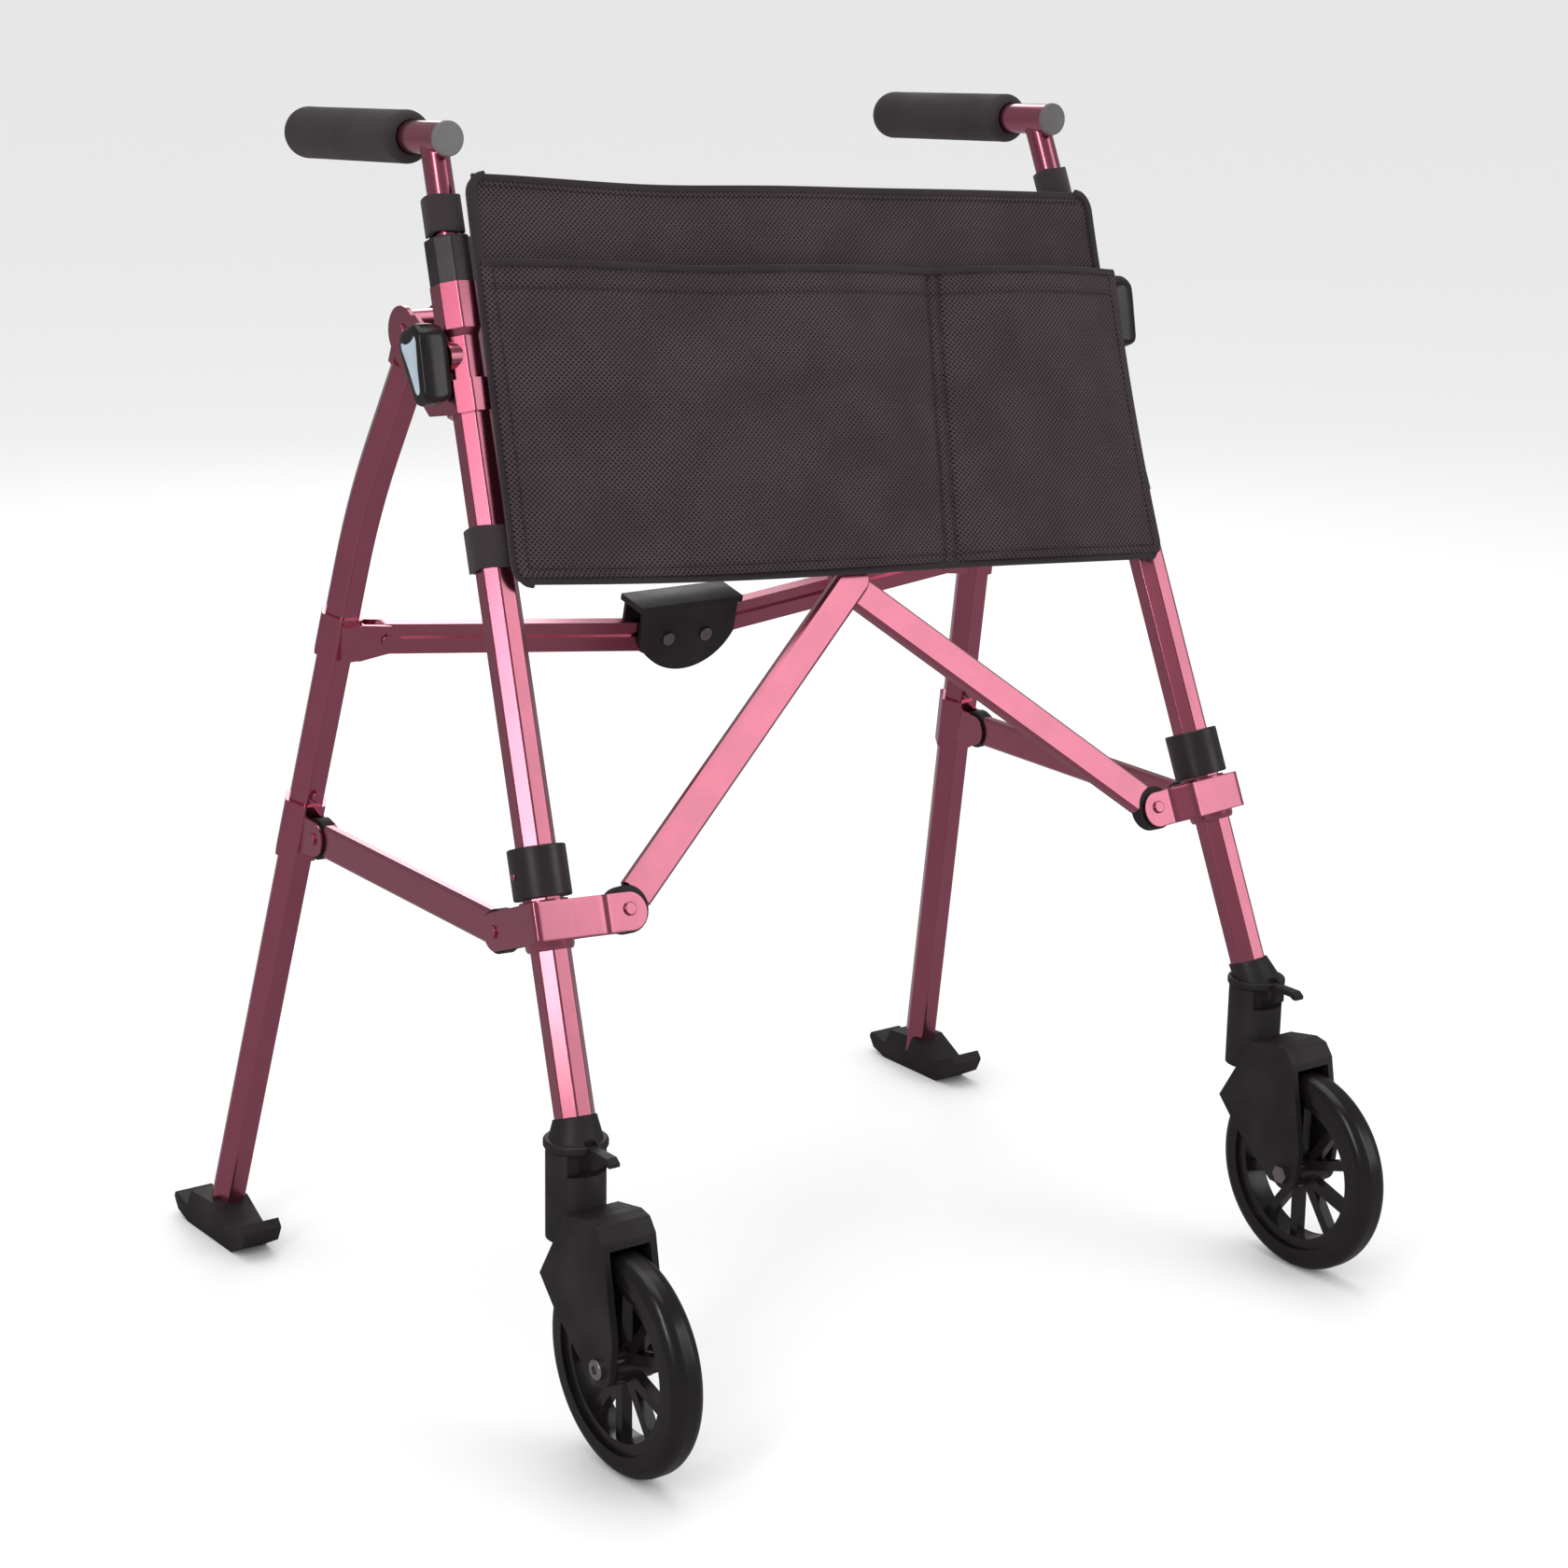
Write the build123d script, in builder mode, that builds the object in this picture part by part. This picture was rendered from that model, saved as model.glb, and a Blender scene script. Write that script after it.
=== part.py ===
"""Folding walking frame: two splayed side frames, an inverted-V front brace,
a rear crossbar with a centre latch, telescopic handles, front castors, glide feet.

Frame: X across, -Y is the front (castor side), +Y is the user's side, Z up, origin
on the floor under the middle.  "left" is the -X side.  The right side is mirrored.
"""
from build123d import *
import os

os.makedirs("parts", exist_ok=True)

# ---- driving dimensions (mm) ----
HANDLE_X, HANDLE_Y, HANDLE_Z = 261, 62, 830   # where the leg axis meets the handle axis
STEM_D, STEM_WALL = 19, 2                     # sliding handle stem
GRIP_TUBE_D = 22.2
GRIP_D = 36
LEG_AF, LEG_BORE = 25.4, 21.4                 # front leg: octagon across flats, bore
LEG_TOP_AF = 31                               # expanded top of the front leg
SPLAY = 0.05914                               # sideways spread per mm down the leg plane
REAR_AF, REAR_BORE = 24, 20
COLLAR_D = 39
SLEEVE_AF = 36                                # sliding double-ear bracket
BAR_W, BAR_T = 24, 10                         # brace and side bars
CROSS_W, CROSS_T = 23, 9
WHEEL_R, TYRE_W = 76.2, 24
AXLE_Y = -240
SWIVEL_X, SWIVEL_Y = 303, -180
PIN_D = 6
RUN = 0.05                                    # radial running clearance

UP = Vector(0, 0.36090, 0.93261)              # up the front plane
FRONT = Vector(0, -0.93261, 0.36090)          # out of the front plane, towards the front
TOP = Vector(-HANDLE_X, HANDLE_Y, HANDLE_Z)
LEG = (UP + Vector(SPLAY, 0, 0)).normalized() # up the left leg
LEG_IN = (Vector(1, 0, 0) - UP * SPLAY).normalized()

REAR_TOP = Vector(-269, 66, 702)              # hinge of the rear leg
REAR_BEND = Vector(-280.4, 129.5, 575)
REAR_FOOT = Vector(-337.5, 266.5, 0)
REAR = (REAR_BEND - REAR_FOOT).normalized()
REAR_UP = Vector(0, -0.23012, 0.97316)        # up the rear plane
REAR_OUT = Vector(0, -0.97316, -0.23012)      # out of the rear plane, towards the front

BRACE_X = 238                                 # brace pins on the sliding brackets
BRACE_PIN_V, APEX_V = -526.5, -329.2          # heights in the front plane
BRACE_MID = 4                                 # front-plane offset of the brace
SIDE_X, SIDE_Z = 304, 329.25                  # middle of the side bar plane
SIDE_FRONT, SIDE_REAR = (-92, -1.75), (156, 1.75)  # its pins, in that plane
SIDE_ACROSS = Vector(1, 0, -0.05).normalized()     # square to it: it leans with the legs
CROSS_PIN_X, CROSS_PIN_Z = 261, 480
HUB_PIN_X, HUB_PIN_Z = 17, 452


def leg_at(t):
    """Plane square to the left front leg, t mm below the handle axis; -y is the front."""
    return Plane(origin=TOP - LEG * t, x_dir=LEG_IN, z_dir=LEG)


def front_plane(offset=0.0):
    """The front plane: x across, y up the plane, z towards the front."""
    origin = Vector(0, HANDLE_Y, HANDLE_Z) + FRONT * offset
    return Plane(origin=origin, x_dir=(1, 0, 0), z_dir=FRONT)


def rear_at(z):
    """Plane square to the lower left rear leg at height z."""
    point = REAR_FOOT + REAR * (z / REAR.Z)
    inward = (Vector(1, 0, 0) - REAR * REAR.X).normalized()
    return Plane(origin=point, x_dir=inward, z_dir=REAR)


def rear_plane(offset=0.0):
    """The rear plane: x across, y up the plane (0 at the hub pins), z towards the front."""
    y = REAR_FOOT.Y + REAR_UP.Y / REAR_UP.Z * HUB_PIN_Z
    origin = Vector(0, y, HUB_PIN_Z) + REAR_OUT * offset
    return Plane(origin=origin, x_dir=(1, 0, 0), z_dir=REAR_OUT)


def side_plane(x):
    """Upright plane across X: x runs to the back (+Y), y up, z towards +X."""
    return Plane(origin=(x, 0, 0), x_dir=(0, 1, 0), z_dir=(1, 0, 0))


def side_bar_plane(offset=0.0):
    """Leaning plane of the left side bar: x to the back, y up, z towards the middle."""
    origin = Vector(-SIDE_X, 0, SIDE_Z) + SIDE_ACROSS * offset
    return Plane(origin=origin, x_dir=(0, 1, 0), z_dir=SIDE_ACROSS)


def save(part, label):
    """Label a finished part and write its STEP file."""
    part.label = label
    export_step(part, f"parts/{label}.step")


def save_pair(builder, label):
    """Write a left part and its mirrored right twin."""
    save(builder.part, f"left_{label}")
    with BuildPart() as twin:
        mirror(builder.part, about=Plane.YZ)
    save(twin.part, f"right_{label}")


# ---- front leg: octagonal tube with an expanded top and a knob boss ----
LEG_TOP_T, SWAGE_T, LEG_BOTTOM_T, KNOB_T = 101, 132, 664, 148.3
knob_point = TOP - LEG * KNOB_T
with BuildPart() as front_leg:
    with BuildSketch(leg_at(LEG_BOTTOM_T)):
        octagon = RegularPolygon(LEG_AF / 2, 8, major_radius=False, rotation=22.5)
        fillet(octagon.vertices(), 2)
    extrude(amount=LEG_BOTTOM_T - SWAGE_T - 5)
    with BuildSketch(leg_at(SWAGE_T + 5)):
        fillet(RegularPolygon(LEG_AF / 2, 8, major_radius=False, rotation=22.5).vertices(), 2)
    with BuildSketch(leg_at(SWAGE_T)):
        fillet(RegularPolygon(LEG_TOP_AF / 2, 8, major_radius=False, rotation=22.5).vertices(), 2)
    loft()
    with BuildSketch(leg_at(SWAGE_T)):
        fillet(RegularPolygon(LEG_TOP_AF / 2, 8, major_radius=False, rotation=22.5).vertices(), 2)
    extrude(amount=SWAGE_T - LEG_TOP_T)
    with BuildSketch(Plane(origin=(knob_point.X - 16, knob_point.Y, knob_point.Z),
                           x_dir=(0, 1, 0), z_dir=(1, 0, 0))):
        Circle(11)
    extrude(amount=12)
    with BuildSketch(leg_at(LEG_BOTTOM_T)):
        Circle(LEG_BORE / 2)
    extrude(amount=LEG_BOTTOM_T - LEG_TOP_T, mode=Mode.SUBTRACT)
    with BuildSketch(leg_at(LEG_TOP_T + 18)):
        Circle(12.5)
    extrude(amount=18, mode=Mode.SUBTRACT)
    with BuildSketch(side_plane(knob_point.X - 17)):
        with Locations((knob_point.Y, knob_point.Z)):
            Circle(4 + RUN)
    extrude(amount=16, mode=Mode.SUBTRACT)
save_pair(front_leg, "front_leg")

# ---- guide bushing in the top of the leg ----
with BuildPart() as bushing:
    with BuildSketch(leg_at(LEG_TOP_T)):
        fillet(RegularPolygon(15, 8, major_radius=False, rotation=22.5).vertices(), 2)
    extrude(amount=32)
    fillet(bushing.faces().sort_by(Axis(TOP, LEG))[-1].edges(), 1.5)
    with BuildSketch(leg_at(LEG_TOP_T + 17.5)):
        Circle(12.5)
    extrude(amount=17.5)
    with BuildSketch(leg_at(LEG_TOP_T + 17.5)):
        Circle(STEM_D / 2 + RUN)
    extrude(amount=49.5, mode=Mode.SUBTRACT)
save_pair(bushing, "guide_bushing")

# ---- sliding handle: stem and grip tube ----
grip_plane = Plane(origin=(-HANDLE_X, HANDLE_Y - 18, HANDLE_Z + 0.8), x_dir=(1, 0, 0),
                   z_dir=(0, 0.99905, -0.04362))
with BuildPart() as handle:
    with BuildSketch(leg_at(430)):
        Circle(STEM_D / 2)
    extrude(amount=428)
    with BuildSketch(grip_plane):
        Circle(GRIP_TUBE_D / 2)
    extrude(amount=200)
    with BuildSketch(leg_at(430)):
        Circle(STEM_D / 2 - STEM_WALL)
    extrude(amount=415, mode=Mode.SUBTRACT)
    with BuildSketch(grip_plane.offset(45)):
        Circle(GRIP_TUBE_D / 2 - STEM_WALL)
    extrude(amount=160, mode=Mode.SUBTRACT)
save_pair(handle, "handle")

with BuildPart() as grip:
    with BuildSketch(grip_plane.offset(47)):
        Circle(GRIP_D / 2)
    extrude(amount=157)
    fillet(grip.edges().filter_by(GeomType.CIRCLE), 5)
    with BuildSketch(grip_plane.offset(47)):
        Circle(GRIP_TUBE_D / 2)
    extrude(amount=153, mode=Mode.SUBTRACT)
save_pair(grip, "grip")

with BuildPart() as grip_cap:
    with BuildSketch(grip_plane.offset(-3)):
        Circle(11.8)
    extrude(amount=3)
    fillet(grip_cap.faces().sort_by(Axis.Y)[0].edges(), 1.5)
save_pair(grip_cap, "grip_cap")

# ---- height knob on the outer side of the leg ----
KNOB_IN, KNOB_OUT = knob_point.X - 18.6, knob_point.X - 40
with BuildPart() as knob:
    knob_plane = Plane(origin=(KNOB_OUT, knob_point.Y, knob_point.Z),
                       x_dir=(0, UP.Z, -UP.Y), z_dir=(1, 0, 0))
    with BuildSketch(knob_plane) as knob_face:
        Polygon((-7, -29), (7, -29), (13.5, 5), (15, 15), (8, 23), (-8, 23), (-15, 15), (-13.5, 5),
                align=None)
        fillet(knob_face.vertices(), 4)
    extrude(amount=KNOB_IN - KNOB_OUT)
    fillet(knob.faces().sort_by(Axis.X)[0].edges(), 2.5)
    with BuildSketch(side_plane(KNOB_IN)):
        with Locations((knob_point.Y, knob_point.Z)):
            Circle(4)
    extrude(amount=8)
save_pair(knob, "height_knob")

# ---- hinge bracket of the rear leg: sleeve with two cheeks ----
CHEEK_GAP, CHEEK_T = 12.6, 3
with BuildPart() as top_bracket:
    with BuildSketch(leg_at(188)):
        fillet(RegularPolygon(16, 8, major_radius=False, rotation=22.5).vertices(), 2)
    extrude(amount=22)
    for cheek_x in (REAR_TOP.X - CHEEK_GAP - CHEEK_T, REAR_TOP.X + CHEEK_GAP):
        with BuildSketch(side_plane(cheek_x)) as cheek:
            Polygon((0, 655), (8, 688), (48, 716), (84, 706), (78, 686), (30, 650), align=None)
            with Locations((REAR_TOP.Y, REAR_TOP.Z)):
                Circle(18)
        extrude(amount=CHEEK_T)
    with BuildSketch(leg_at(260)):
        octagon = RegularPolygon(LEG_AF / 2 + 0.02, 8, major_radius=False, rotation=22.5)
        fillet(octagon.vertices(), 2)
    extrude(amount=120, mode=Mode.SUBTRACT)
    with BuildSketch(side_plane(REAR_TOP.X - 30)):
        with Locations((REAR_TOP.Y, REAR_TOP.Z)):
            Circle(PIN_D / 2)
    extrude(amount=60, mode=Mode.SUBTRACT)
    with BuildSketch(side_plane(knob_point.X - 24)):
        with Locations((knob_point.Y, knob_point.Z)):
            Circle(11.8)
    extrude(amount=24, mode=Mode.SUBTRACT)
    with BuildSketch(leg_at(145)):
        Circle(16.2)
    extrude(amount=60, mode=Mode.SUBTRACT)
save_pair(top_bracket, "top_bracket")

# ---- rear leg: bent tube with a hinge tongue ----
upper_dir = (REAR_BEND - REAR_TOP).normalized()
rear_start = Plane(origin=REAR_TOP + upper_dir * 26, x_dir=(1, 0, 0), z_dir=upper_dir)
with BuildPart() as rear_core:
    with BuildLine() as rear_path:
        FilletPolyline(rear_start.origin, REAR_BEND, REAR_FOOT + REAR * 12, radius=400)
    with BuildSketch(rear_start):
        hexagon = RegularPolygon(REAR_AF / 2, 6, major_radius=False, rotation=0)
        fillet(hexagon.vertices(), 2.5)
    sweep(path=rear_path.wire(), transition=Transition.RIGHT)
with BuildPart() as rear_leg:
    add(rear_core.part)
    with BuildSketch(rear_start):
        Circle(REAR_BORE / 2 - 0.5)
    sweep(path=rear_path.wire(), transition=Transition.RIGHT, mode=Mode.SUBTRACT)
    with BuildSketch(side_plane(REAR_TOP.X - 12)):
        with Locations((REAR_TOP.Y, REAR_TOP.Z)):
            Circle(15)
        Polygon((REAR_TOP.Y - 14.5, REAR_TOP.Z - 4), (REAR_TOP.Y + 14, REAR_TOP.Z + 5),
                (REAR_TOP.Y + 25, REAR_TOP.Z - 22), (REAR_TOP.Y + 1.5, REAR_TOP.Z - 33.8), align=None)
    extrude(amount=24)
    with BuildSketch(side_plane(REAR_TOP.X - 30)):
        with Locations((REAR_TOP.Y, REAR_TOP.Z)):
            Circle(PIN_D / 2 + RUN)
    extrude(amount=60, mode=Mode.SUBTRACT)
save_pair(rear_leg, "rear_leg")

# ---- glide foot: a ski with turned-up ends and a socket ----
with BuildPart() as foot:
    with BuildSketch(side_plane(REAR_FOOT.X - 15)):
        with BuildLine():
            Polyline((202, 28), (197, 22), (203, 10), (222, 0), (294, 0), (310, 5), (316.2, 14),
                     (313, 19), (294, 14), (286, 28), (252, 30), (226, 16), (202, 28))
        make_face()
    extrude(amount=30)
    fillet(foot.edges().filter_by(Axis.X).filter_by(lambda e: e.center().Z < 27), 3)
    add(rear_core.part, mode=Mode.SUBTRACT)
save_pair(foot, "glide_foot")

# ---- collar riveted on the leg: upper stop of the sliding bracket ----
with BuildPart() as collar:
    with BuildSketch(leg_at(510)):
        Circle(COLLAR_D / 2)
    extrude(amount=34)
    chamfer(collar.edges().filter_by(GeomType.CIRCLE), 0.8)
    with BuildSketch(leg_at(520)):
        fillet(RegularPolygon(LEG_AF / 2 + 0.02, 8, major_radius=False, rotation=22.5).vertices(), 2)
    extrude(amount=60, mode=Mode.SUBTRACT)
save_pair(collar, "leg_collar")


# ---- sliding bracket with ears for the brace and for the side bar ----
EAR_T, EAR_GAP = 2.2, 0.4
PLATE = BAR_T / 2 + EAR_GAP


def sliding_bracket(bar_offset):
    """Sleeve on the left leg, two front-plane ears for a brace bar at the given offset."""
    with BuildPart() as bracket:
        with BuildSketch(leg_at(541)):
            fillet(RegularPolygon(SLEEVE_AF / 2, 8, major_radius=False, rotation=22.5).vertices(), 3)
        extrude(amount=30)
        with BuildSketch(leg_at(546)):
            Circle(17)
        extrude(amount=5)
        leg_x = -(HANDLE_X - SPLAY * BRACE_PIN_V)
        for offset in (bar_offset + PLATE, bar_offset - PLATE - EAR_T):
            with BuildSketch(front_plane(offset)):
                Polygon((leg_x + 8, BRACE_PIN_V - 13), (-BRACE_X, BRACE_PIN_V - 13),
                        (-BRACE_X, BRACE_PIN_V + 13), (leg_x + 10, BRACE_PIN_V + 13), align=None)
                with Locations((-BRACE_X, BRACE_PIN_V)):
                    Circle(13)
            extrude(amount=EAR_T)
        for offset in (-PLATE - EAR_T, PLATE):
            with BuildSketch(side_bar_plane(offset)):
                y, z = SIDE_FRONT
                Polygon((y - 38, z + 26), (y + 4, z + 12), (y - 4, z - 12), (y - 46, z + 1), align=None)
                with Locations(SIDE_FRONT):
                    Circle(12.6)
            extrude(amount=EAR_T)
        with BuildSketch(leg_at(560)):
            fillet(RegularPolygon(LEG_AF / 2 + 0.4, 8, major_radius=False, rotation=22.5).vertices(), 2)
        extrude(amount=70, mode=Mode.SUBTRACT)
        with BuildSketch(front_plane(-20)):
            with Locations((-BRACE_X, BRACE_PIN_V)):
                Circle(PIN_D / 2)
        extrude(amount=50, mode=Mode.SUBTRACT)
    return bracket


def mirrored(part):
    """The same part reflected to the right side."""
    with BuildPart() as twin:
        mirror(part, about=Plane.YZ)
    return twin.part


FRONT_BAR, BACK_BAR = BRACE_MID + 5.5, BRACE_MID - 5.5
save(sliding_bracket(FRONT_BAR).part, "left_sliding_bracket")
save(mirrored(sliding_bracket(BACK_BAR).part), "right_sliding_bracket")


# ---- front brace: two bars pinned together at the apex ----
def brace_bar(offset, hole, hole_depth):
    """Bar from the left brace pin up to the apex, drilled from behind for the apex pin."""
    run, rise = BRACE_X, APEX_V - BRACE_PIN_V
    length = (run ** 2 + rise ** 2) ** 0.5
    base = front_plane(offset - BAR_T / 2)
    x_dir = (base.x_dir * run + base.y_dir * rise).normalized()
    pin = base.from_local_coords(Vector(-BRACE_X, BRACE_PIN_V, 0))
    along = Plane(origin=pin, x_dir=x_dir, z_dir=base.z_dir)
    with BuildPart() as bar:
        with BuildSketch(along):
            with Locations((length / 2 + 7, 0)):
                Rectangle(length - 14, BAR_W)
            with Locations((length, 0)):
                Circle(BAR_W / 2)
        extrude(amount=BAR_T)
        long_edges = [e for e in bar.edges().filter_by(GeomType.LINE)
                      if abs(e.tangent_at(0).dot(x_dir)) > 0.99]
        chamfer(long_edges, 2.2)
        with BuildSketch(along):
            with Locations((length, 0)):
                Circle(hole)
        extrude(amount=hole_depth, mode=Mode.SUBTRACT)
        with BuildSketch(along):
            Circle(16.3)
        extrude(amount=BAR_T, mode=Mode.SUBTRACT)
    with BuildPart() as end:
        with BuildSketch(along.offset(0.2)):
            Circle(16)
        extrude(amount=BAR_T - 0.4)
        with BuildSketch(along):
            Circle(PIN_D / 2 + RUN)
        extrude(amount=BAR_T, mode=Mode.SUBTRACT)
    return bar.part, end.part


left_bar, left_end = brace_bar(FRONT_BAR, 4, BAR_T - 1.8)
right_bar, right_end = brace_bar(BACK_BAR, 4 + RUN, BAR_T)
save(left_bar, "left_brace_bar")
save(left_end, "left_brace_end")
save(mirrored(right_bar), "right_brace_bar")
save(mirrored(right_end), "right_brace_end")

with BuildPart() as apex_pin:
    with BuildSketch(front_plane(BACK_BAR - BAR_T / 2 - 3.5)):
        with Locations((0, APEX_V)):
            Circle(7)
    extrude(amount=3.2)
    with BuildSketch(front_plane(BACK_BAR - BAR_T / 2 - 0.5)):
        with Locations((0, APEX_V)):
            Circle(4)
    extrude(amount=FRONT_BAR - BACK_BAR + BAR_T - 1.5)
save(apex_pin.part, "apex_pin")

# ---- side bars between the leg pairs ----
side_base = side_bar_plane(-BAR_T / 2)
side_start = side_base.from_local_coords(Vector(*SIDE_FRONT, 0))
side_span = side_base.from_local_coords(Vector(*SIDE_REAR, 0)) - side_start
side_len, side_dir = side_span.length, side_span.normalized()
side_along = Plane(origin=side_start, x_dir=side_dir, z_dir=SIDE_ACROSS)
with BuildPart() as side_bar:
    with BuildSketch(side_along):
        with Locations((side_len / 2, 0)):
            Rectangle(side_len - 14, BAR_W)
    extrude(amount=BAR_T)
    chamfer([e for e in side_bar.edges() if abs(e.tangent_at(0).dot(side_dir)) > 0.99], 2.2)
    with BuildSketch(side_along):
        with Locations((0, 0), (side_len, 0)):
            Circle(15.3)
    extrude(amount=BAR_T, mode=Mode.SUBTRACT)
save_pair(side_bar, "side_bar")

with BuildPart() as side_ends:
    with BuildSketch(side_along.offset(0.2)):
        with Locations((0, 0), (side_len, 0)):
            Circle(15)
    extrude(amount=BAR_T - 0.4)
    with BuildSketch(side_along):
        with Locations((side_len, 0)):
            Circle(PIN_D / 2 + RUN)
    extrude(amount=BAR_T, mode=Mode.SUBTRACT)
save_pair(side_ends, "side_bar_ends")

# ---- rear leg bracket for the side bar ----
REAR_SLEEVE = 14.5
with BuildPart() as rear_bracket:
    with BuildSketch(rear_at(312)):
        fillet(RegularPolygon(REAR_SLEEVE, 6, major_radius=False, rotation=0).vertices(), 3)
    extrude(amount=44)
    for offset in (-PLATE - EAR_T, PLATE):
        with BuildSketch(side_bar_plane(offset)):
            y, z = SIDE_REAR
            Polygon((y + 28, z + 14), (y + 33, z - 15), (y - 2, z - 12.4), (y - 2, z + 12.4), align=None)
            with Locations(SIDE_REAR):
                Circle(12.6)
        extrude(amount=EAR_T)
    add(rear_core.part, mode=Mode.SUBTRACT)
    with BuildSketch(side_bar_plane(-20)):
        with Locations(SIDE_REAR):
            Circle(PIN_D / 2)
    extrude(amount=40, mode=Mode.SUBTRACT)
save_pair(rear_bracket, "rear_bracket")

# ---- rear crossbar: clamps, two grooved halves and the latch hub ----
CROSS_MID = 8
CROSS_FRONT, CROSS_BACK = CROSS_MID + 5, CROSS_MID - 5
clamp_rise = (CROSS_PIN_Z - HUB_PIN_Z) / REAR_UP.Z


def cross_clamp(bar_offset):
    """Sleeve on the left rear leg with two ears for a crossbar half."""
    with BuildPart() as clamp:
        with BuildSketch(rear_at(466)):
            fillet(RegularPolygon(REAR_SLEEVE, 6, major_radius=False, rotation=0).vertices(), 3)
        extrude(amount=31)
        gap = CROSS_T / 2 + EAR_GAP
        with BuildSketch(rear_plane(9)):
            with Locations((-288, clamp_rise)):
                Rectangle(17, 27)
        extrude(amount=bar_offset + gap + EAR_T - 9)
        for offset in (bar_offset + gap, bar_offset - gap - EAR_T):
            with BuildSketch(rear_plane(offset)):
                Polygon((-282, clamp_rise - 14), (-CROSS_PIN_X, clamp_rise - 11),
                        (-CROSS_PIN_X, clamp_rise + 11), (-282, clamp_rise + 14), align=None)
                with Locations((-CROSS_PIN_X, clamp_rise)):
                    Circle(11)
            extrude(amount=EAR_T)
        add(rear_core.part, mode=Mode.SUBTRACT)
        with BuildSketch(rear_plane(-30)):
            with Locations((-CROSS_PIN_X, clamp_rise)):
                Circle(PIN_D / 2)
        extrude(amount=60, mode=Mode.SUBTRACT)
    return clamp


save(cross_clamp(CROSS_FRONT).part, "left_cross_clamp")
save(mirrored(cross_clamp(CROSS_BACK).part), "right_cross_clamp")


def cross_half(offset, hub_hole):
    """Left half of the crossbar, grooved front and back, from the clamp pin to the hub pin."""
    run, fall = CROSS_PIN_X - HUB_PIN_X, -clamp_rise
    length = (run ** 2 + fall ** 2) ** 0.5
    base = rear_plane(offset - CROSS_T / 2)
    x_dir = (base.x_dir * run + base.y_dir * fall).normalized()
    pin = base.from_local_coords(Vector(-CROSS_PIN_X, clamp_rise, 0))
    along = Plane(origin=pin, x_dir=x_dir, z_dir=base.z_dir)
    with BuildPart() as half:
        with BuildSketch(along):
            with Locations((length / 2, 0)):
                SlotCenterToCenter(length, CROSS_W)
        extrude(amount=CROSS_T)
        with BuildSketch(along.offset(CROSS_T - 2.2)):
            with Locations((length / 2, 2)):
                Rectangle(length - 24, 3.6)
        extrude(amount=3, mode=Mode.SUBTRACT)
        with BuildSketch(along):
            with Locations((length / 2, 2)):
                Rectangle(length - 24, 3.6)
        extrude(amount=2.2, mode=Mode.SUBTRACT)
        with BuildSketch(along):
            Circle(PIN_D / 2 + RUN)
            with Locations((length, 0)):
                Circle(hub_hole)
        extrude(amount=CROSS_T, mode=Mode.SUBTRACT)
    return half.part


save(cross_half(CROSS_FRONT, PIN_D / 2 + RUN), "left_cross_half")
save(mirrored(cross_half(CROSS_BACK, PIN_D / 2)), "right_cross_half")

HUB_FRONT, HUB_BACK, CHEEK = CROSS_FRONT + 4.9, CROSS_BACK - 4.9, 3.2
with BuildPart() as hub:
    with BuildSketch(rear_plane(HUB_BACK - CHEEK)) as hub_face:
        with BuildLine():
            Polyline((-43, 0), (-43, 28), (43, 28), (43, 0))
            ThreePointArc((43, 0), (0, -27), (-43, 0))
        make_face()
    extrude(amount=HUB_FRONT - HUB_BACK + 2 * CHEEK)
    with BuildSketch(rear_plane(HUB_BACK - CHEEK - 1.5)):
        with Locations((0, 26.5)):
            Rectangle(92, 5)
    extrude(amount=HUB_FRONT - HUB_BACK + 2 * CHEEK + 3)
    with BuildSketch(rear_plane(HUB_BACK)):
        with Locations((0, -8)):
            Rectangle(120, 62)
    extrude(amount=HUB_FRONT - HUB_BACK, mode=Mode.SUBTRACT)
    with BuildSketch(rear_plane(HUB_FRONT)):
        with Locations((-HUB_PIN_X, 0)):
            Circle(PIN_D / 2)
    extrude(amount=CHEEK, mode=Mode.SUBTRACT)
save(hub.part, "latch_hub")

# ---- castor head on the leg, lock lever, turning fork ----
FORK_TOP_Z, RING_TOP_Z = 204.6, 211
swivel = (-SWIVEL_X, SWIVEL_Y)
with BuildPart() as castor_head:
    with BuildSketch(Plane.XY.offset(205)):
        with Locations(swivel):
            Circle(21.5)
    extrude(amount=6)
    fillet(castor_head.edges(), 1.8)
    with BuildSketch(Plane.XY.offset(211)):
        with Locations(swivel):
            Circle(18)
    with BuildSketch(leg_at(653)):
        Circle(14.6)
    loft()
    with BuildSketch(Plane.XY.offset(150)):
        with Locations(swivel):
            Circle(13)
    extrude(amount=56)
    with BuildSketch(leg_at(LEG_BOTTOM_T)):
        fillet(RegularPolygon(LEG_AF / 2 + 0.02, 8, major_radius=False, rotation=22.5).vertices(), 2)
    extrude(amount=60, mode=Mode.SUBTRACT)
    with BuildSketch(Plane.XY.offset(180)):
        with Locations((-SWIVEL_X, SWIVEL_Y - 22)):
            Rectangle(8.4, 12)
    extrude(amount=40, mode=Mode.SUBTRACT)
save_pair(castor_head, "castor_head")

with BuildPart() as lock_lever:
    with BuildSketch(side_plane(-SWIVEL_X - 4)):
        with BuildLine():
            Polyline((-197, 206), (-197, 210), (-222, 210), (-226, 207), (-226, 204.5), (-223, 204.5),
                     (-220, 206), (-206, 206), (-206, 197), (-200.8, 197), (-200.8, 206), (-197, 206))
        make_face()
    extrude(amount=8)
save_pair(lock_lever, "lock_lever")

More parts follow.
